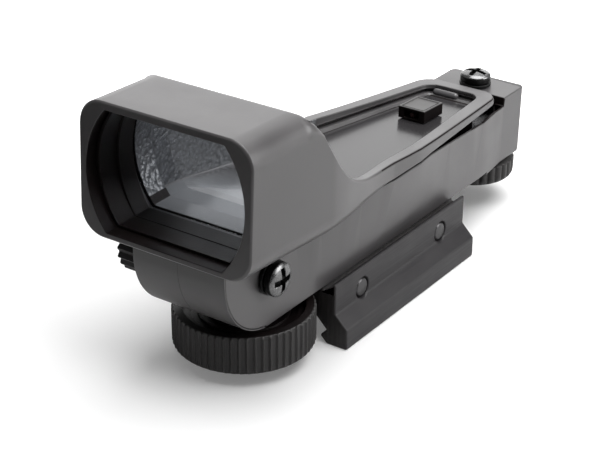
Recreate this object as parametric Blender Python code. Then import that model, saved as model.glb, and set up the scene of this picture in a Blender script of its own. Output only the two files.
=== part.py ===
"""Red dot finder: a lens hood and tray that tilt and swing on a rail-mounted arm.

The origin is the centre of the face that sits on the rail. +Z is up, -Y is the
lens end, and the arm's lock screw is on the +X side. Sizes are in metres.
"""
import math

import bmesh
import bpy
from mathutils import Matrix, Vector

MM = 0.001

# Clearances
GAP = 0.3 * MM              # between two pieces that touch
RUN = 0.25 * MM             # radial clearance of a shaft or a screw in its hole
PARTING = 0.25 * MM         # seam between the housing and the arm

# Rail clamp, heights above the face on the rail
RAIL_WIDTH = 21.2 * MM
RAIL_TOP_WIDTH = 15.7 * MM
RAIL_FIT = 0.2 * MM
JAW_BITE = 1.5 * MM
MOUNT_LENGTH = 49.0 * MM
MOUNT_HALF_WIDTH = 12.8 * MM
LIP_FLARE = 2.7 * MM
LIP_HEIGHT = 4.35 * MM
MOUNT_DEPTH = 5.8 * MM
MOUNT_TOP = 7.6 * MM
GROOVE_INNER = 9.9 * MM     # relief groove beside the arm's foot
GROOVE_OUTER = 12.1 * MM
GROOVE_BOTTOM = 5.7 * MM
JAW_SPLIT = 8.6 * MM
CLAMP_SCREW_SPACING = 29.7 * MM
CLAMP_SCREW_HEIGHT = 3.0 * MM
CLAMP_SCREW_RADIUS = 1.95 * MM
CLAMP_HEAD_RADIUS = 2.9 * MM
CLAMP_HEAD_LENGTH = 2.1 * MM
MOUNT_SCREW_SPACING = 13.0 * MM
MOUNT_SCREW_RADIUS = 1.5 * MM
MOUNT_HEAD_RADIUS = 2.9 * MM
MOUNT_HEAD_LENGTH = 2.0 * MM

# Arm
ARM_BOTTOM = 6.65 * MM
ARM_FLOOR = 2.5 * MM
ARM_HALF_WIDTH = 10.3 * MM
ARM_CHAMFER = 0.15 * MM
PLATE_THICKNESS = 2.1 * MM
NOSE_Y = -41.9 * MM         # centre of the rounded front of the side plates
NOSE_Z = 20.65 * MM
NOSE_RADIUS = 14.0 * MM
NOSE_END_ANGLE = 262.0
REBATE_WALL = 0.8 * MM
REBATE_DEPTH = 3.0 * MM
WEDGE_Y = 8.0 * MM          # where the gap between tail and arm starts to open
SHOULDER_Y = 36.0 * MM
SHOULDER_TOP = 19.5 * MM
BLOCK_FRONT_Y = 46.9 * MM
BLOCK_LENGTH = 9.3 * MM
BLOCK_REAR_Y = BLOCK_FRONT_Y + BLOCK_LENGTH
BLOCK_TOP = 21.45 * MM
BLOCK_BOTTOM = 5.8 * MM
BLOCK_HALF_WIDTH = 9.0 * MM
BLOCK_CORNER = 1.5 * MM
BLOCK_WALL = 2.2 * MM
STEP_LENGTH = 7.5 * MM      # lower foot of the block, in front of its face
STEP_Y = BLOCK_FRONT_Y - STEP_LENGTH

# Elevation wheel
STUD_Y = -36.5 * MM
STUD_RADIUS = 2.0 * MM
STUD_TOP = 16.6 * MM
KNOB_RADIUS = 13.8 * MM
KNOB_BOTTOM = -2.45 * MM
KNOB_TOP = 5.4 * MM
KNOB_RIBS = 56
KNOB_RIB_DEPTH = 0.35 * MM
KNOB_DISH_RADIUS = 11.8 * MM
KNOB_DISH_DEPTH = 1.2 * MM
KNOB_HUB_RADIUS = 6.0 * MM
KNOB_FLOOR = 2.5 * MM
KNOB_CLEAR = 0.6 * MM       # scoop in the rail clamp round the knob
CLIP_RADIUS = 4.2 * MM
CLIP_THICKNESS = 0.8 * MM
NUT_RADIUS = 2.9 * MM
NUT_HEIGHT = 3.7 * MM
BOSS_BOTTOM = 11.6 * MM
BOSS_HALF_WIDTH = 5.0 * MM
BOSS_FRONT_Y = -40.2 * MM
BOSS_REAR_Y = -31.5 * MM

# Windage wheel
CAM_Y = BLOCK_REAR_Y - BLOCK_LENGTH * 2 / 3
CAM_OFFSET = 1.0 * MM
CAM_RADIUS = 3.0 * MM
JOURNAL_RADIUS = 3.1 * MM
SPINDLE_RADIUS = 2.4 * MM
WINDAGE_RADIUS = 9.65 * MM
WINDAGE_BOTTOM = 0.6 * MM
WINDAGE_TOP = 5.0 * MM
WINDAGE_RIBS = 30
WINDAGE_RIB_DEPTH = 0.6 * MM
WINDAGE_HUB_RADIUS = 5.0 * MM
WINDAGE_FLOOR = 1.6 * MM

# Tail pivot
YOKE_BOTTOM = 10.2 * MM
YOKE_TOP = 15.4 * MM
YOKE_HALF_WIDTH = 5.2 * MM
YOKE_FRONT_Y = 33.4 * MM
YOKE_REAR_Y = CAM_Y + CAM_RADIUS - 0.3 * MM
YOKE_EYE_HALF_WIDTH = 3.8 * MM
YOKE_EYE_END_Y = 39.4 * MM
CAM_SLOT_PLAY = 0.9 * MM
PIN_Y = 36.0 * MM
PIN_Z = 12.8 * MM
PIN_RADIUS = 1.5 * MM
PIN_HALF_LENGTH = 6.2 * MM
LUG_THICKNESS = 2.1 * MM
LUG_RADIUS = 2.5 * MM

# Lock screws
LOCK_HEAD_RADIUS = 3.35 * MM
LOCK_HEAD_HEIGHT = 2.2 * MM
LOCK_SHANK_RADIUS = 1.5 * MM
LOCK_WASHER_RADIUS = 3.5 * MM
LOCK_WASHER_THICKNESS = 0.6 * MM
LOCK_RECESS_WIDTH = 1.0 * MM
LOCK_RECESS_LENGTH = 4.2 * MM
LOCK_RECESS_DEPTH = 1.2 * MM
LOCK_Y = -42.6 * MM
LOCK_Z = 17.0 * MM
LOCK_TRAVEL = 2.5 * MM      # slot in the side plate above the screw
LOCK_LUG_INNER = 5.7 * MM
LOCK_LUG_FRONT_Y = -47.5 * MM
LOCK_LUG_BOTTOM = 12.8 * MM
LOCK_NUT_RADIUS = 2.6 * MM
LOCK_NUT_THICKNESS = 1.2 * MM
REAR_LOCK_BORE_DEPTH = 8.0 * MM
REAR_LOCK_LENGTH = 7.5 * MM

# Housing
HOOD_FRONT_Y = -60.0 * MM
HOOD_LEAN = 0.05            # the front face leans back as it rises
HOOD_HALF_WIDTH = 18.9 * MM
HOOD_BOTTOM = 24.7 * MM
HOOD_TOP = 50.6 * MM
HOOD_CORNER = 5.0 * MM
HOOD_WALL = 1.4 * MM
ROOF_END_Y = -43.0 * MM
ROOF_END_TOP = 50.0 * MM
CREASE_Y = -34.5 * MM       # where the flat hood sides start to sweep inwards
SWEEP_END_Y = -6.0 * MM
SWEEP_LENGTH = 10.4 * MM
TAIL_START_Y = 4.0 * MM
TAIL_END_Y = 44.3 * MM
TAIL_FRONT_HALF = 14.0 * MM
TAIL_REAR_HALF = 9.2 * MM
TAIL_CORNER = 4.0 * MM
TAIL_EDGE = 0.6 * MM
RIM_FRONT_TOP = 25.1 * MM
RIM_REAR_TOP = 22.75 * MM
RIM_FRONT_WIDTH = 2.6 * MM
RIM_REAR_WIDTH = 3.5 * MM
UNDERSIDE = 23.2 * MM
UNDERSIDE_REAR = 21.35 * MM
TRAY_FRONT_FLOOR = 25.3 * MM
TRAY_REAR_FLOOR = 20.9 * MM
TRAY_COVE = 1.3 * MM        # the tray's walls lean in towards its floor
TRAY_LIP = 0.4 * MM
TRAY_REAR_SLOPE = 3.0 * MM
TUB_CLEAR = 2.2 * MM        # tub side to the arm's outer face
TUB_FLOOR = 1.2 * MM
TUB_START_Y = -28.0 * MM
KEEL_FRONT_Y = 8.0 * MM
KEEL_REAR_Y = 31.0 * MM
KEEL_HALF_WIDTH = 6.6 * MM
KEEL_BOTTOM = 15.2 * MM
KEEL_WALL = 1.2 * MM
KEEL_ROOF = 19.9 * MM

# Lens
LENS_Z = 37.5 * MM
POCKET_HALF_WIDTH = 17.3 * MM
POCKET_FLAT_HALF = 12.85 * MM
POCKET_HALF_HEIGHT = 11.6 * MM
BORE_HALF_WIDTH = 15.6 * MM
BORE_FLAT_HALF = 12.5 * MM
BORE_HALF_HEIGHT = 10.9 * MM
SEAT_STEP = 0.3 * MM        # the tunnel behind the lens is this much tighter than the bore
SEAT_Y = -45.7 * MM         # shoulder behind the lens
LENS_THICKNESS = 2.2 * MM
FRAME_FRONT_Y = -57.0 * MM
FRAME_STEP_Y = -52.5 * MM
FRAME_STEP = 0.6 * MM

# Emitter on the tray floor
EMITTER_Y = 26.5 * MM
EMITTER_WIDTH = 6.4 * MM
EMITTER_LENGTH = 7.6 * MM
EMITTER_HEIGHT = 2.6 * MM
WINDOW_WIDTH = 3.6 * MM
WINDOW_HEIGHT = 1.7 * MM
WINDOW_DEPTH = 3.6 * MM
EMITTER_RADIUS = 0.5 * MM
EMITTER_HOLE_RADIUS = 1.4 * MM
LEAD_RADIUS = 0.5 * MM
BOARD_THICKNESS = 1.0 * MM
BOARD_TOP = 19.3 * MM
COVER_THICKNESS = 1.2 * MM

# Battery drawer and switch
SKIN = 0.5 * MM            # lip of the drawer over the plates' front edges
DRAWER_WALL = 1.3 * MM
PLUG_SETBACK = 2            # degrees short of the skin's lower end
DRAWER_TOP = 24.0 * MM
CELL_RADIUS = 5.8 * MM
CELL_LENGTH = 10.8 * MM
CELL_Y = -47.5 * MM
CELL_Z = 17.6 * MM
CELL_X = -0.5 * MM          # middle of the pair of cells
CRADLE_TOP = 17.0 * MM
CRADLE_BOTTOM = 10.5 * MM
CRADLE_END = 0.7 * MM
CRADLE_INSET = 0.7 * MM
STRIP_THICKNESS = 0.25 * MM
STRIP_WIDTH = 2.6 * MM
STRIP_TOP = 20.0 * MM
DIAL_Y = -47.4 * MM
DIAL_Z = 17.9 * MM
DIAL_RADIUS = 5.3 * MM
DIAL_THICKNESS = 6.4 * MM
DIAL_RIBS = 18
DIAL_RIB_DEPTH = 0.5 * MM
DIAL_HUB_RADIUS = 2.0 * MM
TRACK_RADIUS = 5.0 * MM
TRACK_THICKNESS = 0.6 * MM
WIPER_RADIUS = 4.4 * MM
WIPER_THICKNESS = 0.5 * MM

ROUND = 32                  # facets round a visible turned piece
SMALL_ROUND = 20            # facets round a screw or a hidden piece


def clear_scene():
    for old in list(bpy.data.objects):
        bpy.data.objects.remove(old, do_unlink=True)


def make_material(name, colour, roughness, metallic=0.0):
    material = bpy.data.materials.new(name)
    material.use_nodes = True
    shader = material.node_tree.nodes["Principled BSDF"]
    shader.inputs["Base Color"].default_value = (*colour, 1.0)
    shader.inputs["Roughness"].default_value = roughness
    shader.inputs["Metallic"].default_value = metallic
    return material


def ramp(y, points):
    """Straight lines through (y, value) points, level beyond both ends."""
    if y <= points[0][0]:
        return points[0][1]
    for (y0, value0), (y1, value1) in zip(points, points[1:]):
        if y <= y1:
            return value0 + (value1 - value0) * (y - y0) / (y1 - y0)
    return points[-1][1]


def arc(centre, radius, start, end, steps):
    """Points of an arc in a plane, angles in degrees."""
    points = []
    for step in range(steps + 1):
        angle = math.radians(start + (end - start) * step / steps)
        points.append((centre[0] + radius * math.cos(angle), centre[1] + radius * math.sin(angle)))
    return points


def circle(centre, radius, segments):
    return arc(centre, radius, 0, 360, segments)[:-1]


def prism(outline, axis, low, high):
    """An outline pushed along X (outline in Y, Z), Y (in X, Z) or Z (in X, Y)."""
    spot = {"X": lambda u, v: (low, u, v), "Y": lambda u, v: (u, low, v), "Z": lambda u, v: (u, v, low)}
    push = {"X": (1, 0, 0), "Y": (0, 1, 0), "Z": (0, 0, 1)}
    bm = bmesh.new()
    face = bm.faces.new([bm.verts.new(spot[axis](u, v)) for u, v in outline])
    moved = bmesh.ops.extrude_face_region(bm, geom=[face], use_keep_orig=True)
    verts = [item for item in moved["geom"] if isinstance(item, bmesh.types.BMVert)]
    bmesh.ops.translate(bm, verts=verts, vec=Vector(push[axis]) * (high - low))
    return bm


def box(low, high):
    (x0, y0, z0), (x1, y1, z1) = low, high
    return prism([(x0, y0), (x1, y0), (x1, y1), (x0, y1)], "Z", z0, z1)


def loft(loops):
    """A closed skin through loops that have the same number of points."""
    bm = bmesh.new()
    rings = [[bm.verts.new(point) for point in loop] for loop in loops]
    for ring, following in zip(rings, rings[1:]):
        for index in range(len(ring)):
            after = (index + 1) % len(ring)
            bm.faces.new((ring[index], ring[after], following[after], following[index]))
    bm.faces.new(rings[0])
    bm.faces.new(rings[-1])
    bmesh.ops.connect_verts_nonplanar(bm, angle_limit=math.radians(0.01), faces=bm.faces)
    return bm


def turned(profile, segments):
    """A closed profile of (radius, height) points spun about Z."""
    bm = bmesh.new()
    verts = [bm.verts.new((radius, 0, height)) for radius, height in profile]
    edges = [bm.edges.new(pair) for pair in zip(verts, verts[1:])]
    if profile[0][0] > 0:
        edges.append(bm.edges.new((verts[-1], verts[0])))
    bmesh.ops.spin(bm, geom=verts + edges, axis=(0, 0, 1), cent=(0, 0, 0),
                   angle=math.tau, steps=segments, use_merge=True)
    bmesh.ops.remove_doubles(bm, verts=bm.verts, dist=0.000001)
    return bm


def add_object(name, bm, origin=(0, 0, 0), turn=(0, 0, 0), local=False):
    """Link a bmesh as an object; its points are world points unless local is set."""
    bmesh.ops.recalc_face_normals(bm, faces=bm.faces)
    if not local:
        bm.transform(Matrix.Translation(-Vector(origin)))
    mesh = bpy.data.meshes.new(name)
    bm.to_mesh(mesh)
    bm.free()
    obj = bpy.data.objects.new(name, mesh)
    obj.location = origin
    obj.rotation_euler = turn
    bpy.context.scene.collection.objects.link(obj)
    return obj


def piece(name, bm, material, origin=(0, 0, 0), turn=(0, 0, 0), local=False):
    obj = add_object(name, bm, origin, turn, local)
    obj.data.materials.append(material)
    obj.data.shade_smooth()
    obj.data.set_sharp_from_angle(angle=math.radians(35))
    return obj


def shape(obj, operation, bm, origin=(0, 0, 0), turn=(0, 0, 0), local=False):
    """Cut, join or keep a shape with a hidden helper object."""
    helper = add_object(obj.name + "_" + operation.lower(), bm, origin, turn, local)
    helper.hide_render = True
    helper.display_type = "WIRE"
    modifier = obj.modifiers.new(helper.name, "BOOLEAN")
    modifier.operation = operation
    modifier.solver = "EXACT"
    modifier.object = helper


def cut(obj, bm, **place):
    shape(obj, "DIFFERENCE", bm, **place)


def join(obj, bm, **place):
    shape(obj, "UNION", bm, **place)


def upright(radius, low, high, x=0.0, y=0.0, segments=SMALL_ROUND):
    return prism(circle((x, y), radius, segments), "Z", low, high)


def crosswise(radius, low, high, y, z, segments=SMALL_ROUND):
    return prism(circle((y, z), radius, segments), "X", low, high)


def ribbed(radius, depth, count):
    """Outline of a wheel with pointed ribs, in its own plane."""
    points = []
    for step in range(2 * count):
        reach = radius - depth * (step % 2)
        angle = math.tau * step / (2 * count)
        points.append((reach * math.cos(angle), reach * math.sin(angle)))
    return points


def flat_sided(half_width, flat_half, half_height, steps):
    """Bowed sides and a flat top and bottom about the lens axis, in X and Z."""
    offset = (flat_half ** 2 + half_height ** 2 - half_width ** 2) / (2 * (half_width - flat_half))
    radius = half_width + offset
    reach = math.degrees(math.asin(half_height / radius))
    right = arc((-offset, LENS_Z), radius, -reach, reach, steps)
    left = arc((offset, LENS_Z), radius, 180 - reach, 180 + reach, steps)
    return right + left


def pocket_outline(inset, steps):
    return flat_sided(POCKET_HALF_WIDTH - inset, POCKET_FLAT_HALF - inset,
                      POCKET_HALF_HEIGHT - inset, steps)


def bore_outline(inset, steps):
    return flat_sided(BORE_HALF_WIDTH - inset, BORE_FLAT_HALF - inset, BORE_HALF_HEIGHT - inset, steps)


# Shape of the arm and the housing along Y

def underside(y):
    return ramp(y, [(HOOD_FRONT_Y, HOOD_BOTTOM), (CREASE_Y, UNDERSIDE),
                    (WEDGE_Y, UNDERSIDE), (TAIL_END_Y, UNDERSIDE_REAR)])


def tail_half_width(y):
    return ramp(y, [(TAIL_START_Y, TAIL_FRONT_HALF), (TAIL_END_Y, TAIL_REAR_HALF)])


def arm_top_half_width(y):
    front = ramp(y, [(CREASE_Y, ARM_HALF_WIDTH), (SWEEP_END_Y, TAIL_FRONT_HALF)])
    return max(min(front, tail_half_width(y)), BLOCK_HALF_WIDTH)


def housing_half_width(y):
    along = min(max((y - CREASE_Y) / (SWEEP_END_Y - CREASE_Y), 0.0), 1.0)
    hood_share = (1 + math.cos(math.pi * along)) / 2
    width = tail_half_width(y) + (HOOD_HALF_WIDTH - TAIL_FRONT_HALF) * hood_share
    past_corner = y - (TAIL_END_Y - TAIL_CORNER)
    if past_corner > 0:
        width -= TAIL_CORNER - math.sqrt(max(TAIL_CORNER ** 2 - past_corner ** 2, 0))
    return width


def housing_top(y):
    if y <= ROOF_END_Y:
        return ramp(y, [(HOOD_FRONT_Y, HOOD_TOP), (ROOF_END_Y, ROOF_END_TOP)])
    rim = ramp(y, [(TAIL_START_Y, RIM_FRONT_TOP), (TAIL_END_Y, RIM_REAR_TOP)])
    return rim + (ROOF_END_TOP - rim) / (1 + ((y - ROOF_END_Y) / SWEEP_LENGTH) ** 2)


def top_radius(y):
    return ramp(y, [(ROOF_END_Y, HOOD_CORNER), (ROOF_END_Y + HOOD_CORNER, TAIL_EDGE)])


def low_radius(y):
    return ramp(y, [(CREASE_Y, HOOD_CORNER), (SWEEP_END_Y, TAIL_EDGE)])


def tray_half_width(y):
    wall = ramp(y, [(CREASE_Y, HOOD_WALL), (TAIL_START_Y, RIM_FRONT_WIDTH),
                    (TAIL_END_Y, RIM_REAR_WIDTH)])
    return housing_half_width(y) - wall


def tray_floor(y):
    return ramp(y, [(ROOF_END_Y, TRAY_FRONT_FLOOR), (TAIL_END_Y, TRAY_REAR_FLOOR)])


def stations(start, end, count):
    return [start + (end - start) * step / count for step in range(count + 1)]


PLATE_INNER = ARM_HALF_WIDTH - PLATE_THICKNESS
ARM_FLOOR_TOP = ARM_BOTTOM + ARM_FLOOR
BLOCK_ROOF = SHOULDER_TOP + GAP
PLATE_NOSE = NOSE_RADIUS - SKIN - GAP
TRAY_END_Y = TAIL_END_Y - RIM_REAR_WIDTH

clear_scene()
black_plastic = make_material("black_plastic", (0.035, 0.035, 0.037), 0.45)
knob_plastic = make_material("knob_plastic", (0.02, 0.02, 0.021), 0.5)
black_anodised = make_material("black_anodised", (0.03, 0.03, 0.032), 0.38, 0.6)
black_steel = make_material("black_steel", (0.05, 0.05, 0.05), 0.25, 0.9)
plain_steel = make_material("plain_steel", (0.5, 0.5, 0.5), 0.3, 1.0)
brass = make_material("brass", (0.7, 0.5, 0.2), 0.3, 1.0)
coated_glass = make_material("coated_glass", (0.25, 0.32, 0.38), 0.05)
board_green = make_material("board_green", (0.03, 0.16, 0.07), 0.5)
red_emitter = make_material("red_emitter", (0.6, 0.03, 0.03), 0.2)


# Arm: a channel with plates at the front and a tall block at the rear

def arm_outline():
    """Side view: rounded plate nose, flat underside, rear block, sloping top edge."""
    nose = arc((NOSE_Y, NOSE_Z), PLATE_NOSE, 180, NOSE_END_ANGLE, 12)
    last = math.radians(NOSE_END_ANGLE)
    chin_end = NOSE_Y + NOSE_RADIUS * math.cos(last) + GAP
    front_top = underside(NOSE_Y - PLATE_NOSE) - PARTING
    return ([(NOSE_Y - PLATE_NOSE, front_top)] + nose
            + [(chin_end, nose[-1][1]), (chin_end, ARM_BOTTOM), (STEP_Y, ARM_BOTTOM),
               (STEP_Y, BLOCK_BOTTOM), (BLOCK_REAR_Y, BLOCK_BOTTOM), (BLOCK_REAR_Y, BLOCK_TOP),
               (BLOCK_FRONT_Y, BLOCK_TOP), (BLOCK_FRONT_Y, SHOULDER_TOP), (SHOULDER_Y, SHOULDER_TOP),
               (WEDGE_Y, UNDERSIDE - PARTING), (CREASE_Y, UNDERSIDE - PARTING)])


def arm_sides():
    """The drafted outer faces: straight below, spread at the top to meet the housing."""
    corner = arc((0, 0), BLOCK_CORNER, 0, 90, 4)
    rounded = [(BLOCK_REAR_Y - BLOCK_CORNER + y, BLOCK_CORNER - x) for x, y in corner]
    ends = [(y, pulled) for y, pulled in rounded]
    places = [(y, 0.0) for y in [HOOD_FRONT_Y, CREASE_Y] + stations(SWEEP_END_Y, TAIL_START_Y, 2)
              + stations(WEDGE_Y, BLOCK_FRONT_Y, 4)] + ends
    reach = BLOCK_TOP - BLOCK_BOTTOM
    loops = []
    for y, pulled in places:
        top = arm_top_half_width(y) - pulled
        foot = ramp(y, [(SHOULDER_Y, ARM_HALF_WIDTH), (BLOCK_FRONT_Y, BLOCK_HALF_WIDTH)])
        low = min(ARM_HALF_WIDTH, foot) - pulled
        shift = 0.0
        if pulled >= BLOCK_CORNER:
            shift = GAP
        loops.append([(-low, y + shift, ARM_BOTTOM), (-low + ARM_CHAMFER, y + shift, BLOCK_BOTTOM - GAP),
                      (low - ARM_CHAMFER, y + shift, BLOCK_BOTTOM - GAP), (low, y + shift, ARM_BOTTOM),
                      (top, y + shift, UNDERSIDE), (top, y + shift, UNDERSIDE + reach),
                      (-top, y + shift, UNDERSIDE + reach), (-top, y + shift, UNDERSIDE)])
    return loft(loops)


def arm_rebate():
    """Room beside the tub along the top of both walls."""
    places = [CREASE_Y] + stations(SWEEP_END_Y, TAIL_START_Y, 2)
    places += stations(WEDGE_Y, BLOCK_FRONT_Y - GAP, 4)
    loops = []
    for y in places:
        half = arm_top_half_width(y) - REBATE_WALL
        top = ramp(y, [(WEDGE_Y, UNDERSIDE), (SHOULDER_Y, SHOULDER_TOP)])
        loops.append([(-half, y, top - REBATE_DEPTH), (half, y, top - REBATE_DEPTH),
                      (half, y, BLOCK_TOP + ARM_FLOOR), (-half, y, BLOCK_TOP + ARM_FLOOR)])
    return loft(loops)


arm = piece("arm", prism(arm_outline(), "X", -HOOD_HALF_WIDTH, HOOD_HALF_WIDTH), black_plastic)
shape(arm, "INTERSECT", arm_sides())
floor_start = NOSE_Y + (NOSE_RADIUS - DRAWER_WALL) * math.cos(math.radians(NOSE_END_ANGLE)) + GAP
cavity_rear = BLOCK_FRONT_Y - BLOCK_WALL
cavity = [(HOOD_FRONT_Y, 0), (floor_start, 0), (floor_start, ARM_FLOOR_TOP),
          (cavity_rear, ARM_FLOOR_TOP), (cavity_rear, HOOD_TOP), (HOOD_FRONT_Y, HOOD_TOP)]
cut(arm, prism(cavity, "X", -PLATE_INNER, PLATE_INNER))
cut(arm, arm_rebate())
block_inner = BLOCK_HALF_WIDTH - BLOCK_WALL - GAP
cut(arm, box((-block_inner, SHOULDER_Y, BLOCK_BOTTOM + ARM_FLOOR),
             (block_inner, BLOCK_REAR_Y - BLOCK_WALL, BLOCK_ROOF)))
cut(arm, upright(STUD_RADIUS + RUN, ARM_BOTTOM - ARM_FLOOR, ARM_FLOOR_TOP + ARM_FLOOR, y=STUD_Y))
cut(arm, upright(JOURNAL_RADIUS + RUN, 0, BLOCK_BOTTOM + 2 * ARM_FLOOR, y=CAM_Y))
cut(arm, upright(LOCK_SHANK_RADIUS + RUN, BLOCK_ROOF - BLOCK_WALL, BLOCK_TOP + BLOCK_WALL, y=CAM_Y))
for side in (-1, 1):
    cut(arm, upright(MOUNT_SCREW_RADIUS + RUN, 0, ARM_FLOOR_TOP + ARM_FLOOR,
                     y=side * MOUNT_SCREW_SPACING / 2))
slot_radius = LOCK_SHANK_RADIUS + RUN
lock_slot = (arc((LOCK_Y, LOCK_Z), slot_radius, 180, 360, 8)
             + arc((LOCK_Y, LOCK_Z + LOCK_TRAVEL), slot_radius, 0, 180, 8))
cut(arm, prism(lock_slot, "X", LOCK_LUG_INNER, HOOD_HALF_WIDTH))
cut(arm, crosswise(DIAL_HUB_RADIUS + RUN, -HOOD_HALF_WIDTH, 0, DIAL_Y, DIAL_Z))


# Rail clamp: block with the fixed jaw, loose jaw and screws

rail_top_half = RAIL_TOP_WIDTH / 2 + RAIL_FIT
rail_half = RAIL_WIDTH / 2 + RAIL_FIT
vee_z = rail_top_half - rail_half
throat = rail_half - JAW_BITE
lead_in = throat + MOUNT_DEPTH + vee_z - JAW_BITE
lip_top = LIP_HEIGHT - MOUNT_DEPTH
lip_half = MOUNT_HALF_WIDTH + LIP_FLARE
saddle = ARM_BOTTOM - GAP
outside = [(GROOVE_INNER, saddle), (GROOVE_INNER, GROOVE_BOTTOM), (GROOVE_OUTER, GROOVE_BOTTOM),
           (GROOVE_OUTER, MOUNT_TOP), (MOUNT_HALF_WIDTH, MOUNT_TOP),
           (MOUNT_HALF_WIDTH, lip_top + LIP_FLARE), (lip_half, lip_top), (lip_half, -MOUNT_DEPTH),
           (lead_in, -MOUNT_DEPTH), (throat, vee_z - JAW_BITE), (rail_half, vee_z)]
block_outline = outside + [(rail_top_half, 0), (-JAW_SPLIT, 0), (-JAW_SPLIT, saddle)]
split = JAW_SPLIT + GAP
jaw_outline = [(-x, z) for x, z in outside + [(split, rail_top_half - split), (split, saddle)]]
mount_half = MOUNT_LENGTH / 2

mount_block = piece("mount_block", prism(block_outline, "Y", -mount_half, mount_half), black_anodised)
cut(mount_block, upright(KNOB_RADIUS + KNOB_CLEAR, -MOUNT_DEPTH - GAP, MOUNT_TOP + GAP, y=STUD_Y,
                         segments=2 * ROUND))
clamp_jaw = piece("clamp_jaw", prism(jaw_outline, "Y", -mount_half, mount_half), black_anodised)
head_seat = -MOUNT_HALF_WIDTH + CLAMP_HEAD_LENGTH
for name, side in (("front", -1), ("rear", 1)):
    screw_y = side * CLAMP_SCREW_SPACING / 2
    for held in (mount_block, clamp_jaw):
        cut(held, crosswise(CLAMP_SCREW_RADIUS + RUN, -lip_half, lip_half, screw_y, CLAMP_SCREW_HEIGHT))
    cut(clamp_jaw, crosswise(CLAMP_HEAD_RADIUS + RUN, -lip_half - GAP, head_seat + GAP,
                             screw_y, CLAMP_SCREW_HEIGHT))
    clamp_length = MOUNT_HALF_WIDTH - head_seat
    clamp_profile = [(0, CLAMP_HEAD_LENGTH), (CLAMP_HEAD_RADIUS, CLAMP_HEAD_LENGTH),
                     (CLAMP_HEAD_RADIUS, 0), (CLAMP_SCREW_RADIUS, 0),
                     (CLAMP_SCREW_RADIUS, -clamp_length), (0, -clamp_length)]
    clamp_place = {"origin": (head_seat, screw_y, CLAMP_SCREW_HEIGHT),
                   "turn": (0, -math.pi / 2, 0), "local": True}
    clamp_screw = piece("clamp_screw_" + name, turned(clamp_profile, SMALL_ROUND), black_steel,
                        **clamp_place)
    slot_half = LOCK_RECESS_WIDTH / 2
    cut(clamp_screw, box((-slot_half, -CLAMP_HEAD_RADIUS - GAP, CLAMP_HEAD_LENGTH / 2),
                         (slot_half, CLAMP_HEAD_RADIUS + GAP, CLAMP_HEAD_LENGTH + GAP)), **clamp_place)

    mount_y = side * MOUNT_SCREW_SPACING / 2
    mount_head = MOUNT_HEAD_LENGTH + GAP
    cut(mount_block, upright(MOUNT_SCREW_RADIUS + RUN, -MOUNT_DEPTH, MOUNT_TOP, y=mount_y))
    cut(mount_block, upright(MOUNT_HEAD_RADIUS + RUN, -MOUNT_DEPTH, mount_head + GAP, y=mount_y))
    mount_profile = [(0, ARM_FLOOR_TOP - GAP), (MOUNT_SCREW_RADIUS, ARM_FLOOR_TOP - GAP),
                     (MOUNT_SCREW_RADIUS, mount_head), (MOUNT_HEAD_RADIUS, mount_head),
                     (MOUNT_HEAD_RADIUS, GAP), (0, GAP)]
    piece("mount_screw_" + name, turned(mount_profile, SMALL_ROUND), plain_steel,
          origin=(0, mount_y, 0), local=True)


# Elevation wheel: knob, threaded stud and the clip that keeps the stud in the arm

elevation_axis = (0, STUD_Y, 0)
hub_top = ARM_BOTTOM - GAP
place = {"origin": elevation_axis, "local": True}
knob_outline = ribbed(KNOB_RADIUS, KNOB_RIB_DEPTH, KNOB_RIBS)
knob = piece("elevation_knob", prism(knob_outline, "Z", KNOB_BOTTOM, KNOB_TOP), knob_plastic, **place)
dish_low = KNOB_TOP - KNOB_DISH_DEPTH
cut(knob, upright(KNOB_DISH_RADIUS, dish_low, KNOB_TOP + GAP, segments=ROUND), **place)
join(knob, upright(KNOB_HUB_RADIUS, KNOB_BOTTOM + GAP, hub_top, segments=ROUND), **place)
cut(knob, upright(STUD_RADIUS + RUN, KNOB_BOTTOM + KNOB_FLOOR, hub_top + GAP), **place)
stud_low = KNOB_BOTTOM + KNOB_FLOOR + GAP
piece("elevation_stud", upright(STUD_RADIUS, stud_low, STUD_TOP), plain_steel, **place)
clip_low = ARM_FLOOR_TOP + GAP
clip_profile = [(STUD_RADIUS + RUN, clip_low), (STUD_RADIUS + RUN, clip_low + CLIP_THICKNESS),
                (CLIP_RADIUS, clip_low + CLIP_THICKNESS), (CLIP_RADIUS, clip_low)]
piece("knob_clip", turned(clip_profile, SMALL_ROUND), plain_steel, **place)


# Windage wheel: knob and eccentric shaft, with the lock screw on the same axis

windage_axis = (0, CAM_Y, 0)
place = {"origin": windage_axis, "local": True}
windage_hub_top = BLOCK_BOTTOM - GAP
shaft_low = WINDAGE_BOTTOM + WINDAGE_FLOOR
windage_outline = ribbed(WINDAGE_RADIUS, WINDAGE_RIB_DEPTH, WINDAGE_RIBS)
windage_rim = prism(windage_outline, "Z", WINDAGE_BOTTOM, WINDAGE_TOP)
windage_knob = piece("windage_knob", windage_rim, knob_plastic, **place)
windage_hub = upright(WINDAGE_HUB_RADIUS, WINDAGE_BOTTOM + GAP, windage_hub_top, segments=ROUND)
join(windage_knob, windage_hub, **place)
cut(windage_knob, upright(JOURNAL_RADIUS + RUN, shaft_low, windage_hub_top + GAP), **place)
cam_low = YOKE_BOTTOM - GAP
spindle_low = YOKE_TOP
spindle_top = BLOCK_ROOF - GAP
cam = piece("windage_cam", upright(JOURNAL_RADIUS, shaft_low + GAP, cam_low), plain_steel, **place)
join(cam, upright(CAM_RADIUS, cam_low - GAP, spindle_low + GAP, y=-CAM_OFFSET), **place)
join(cam, upright(SPINDLE_RADIUS, spindle_low - GAP, spindle_top), **place)
cut(cam, upright(LOCK_SHANK_RADIUS + RUN, spindle_top - REAR_LOCK_BORE_DEPTH, BLOCK_TOP), **place)


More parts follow.
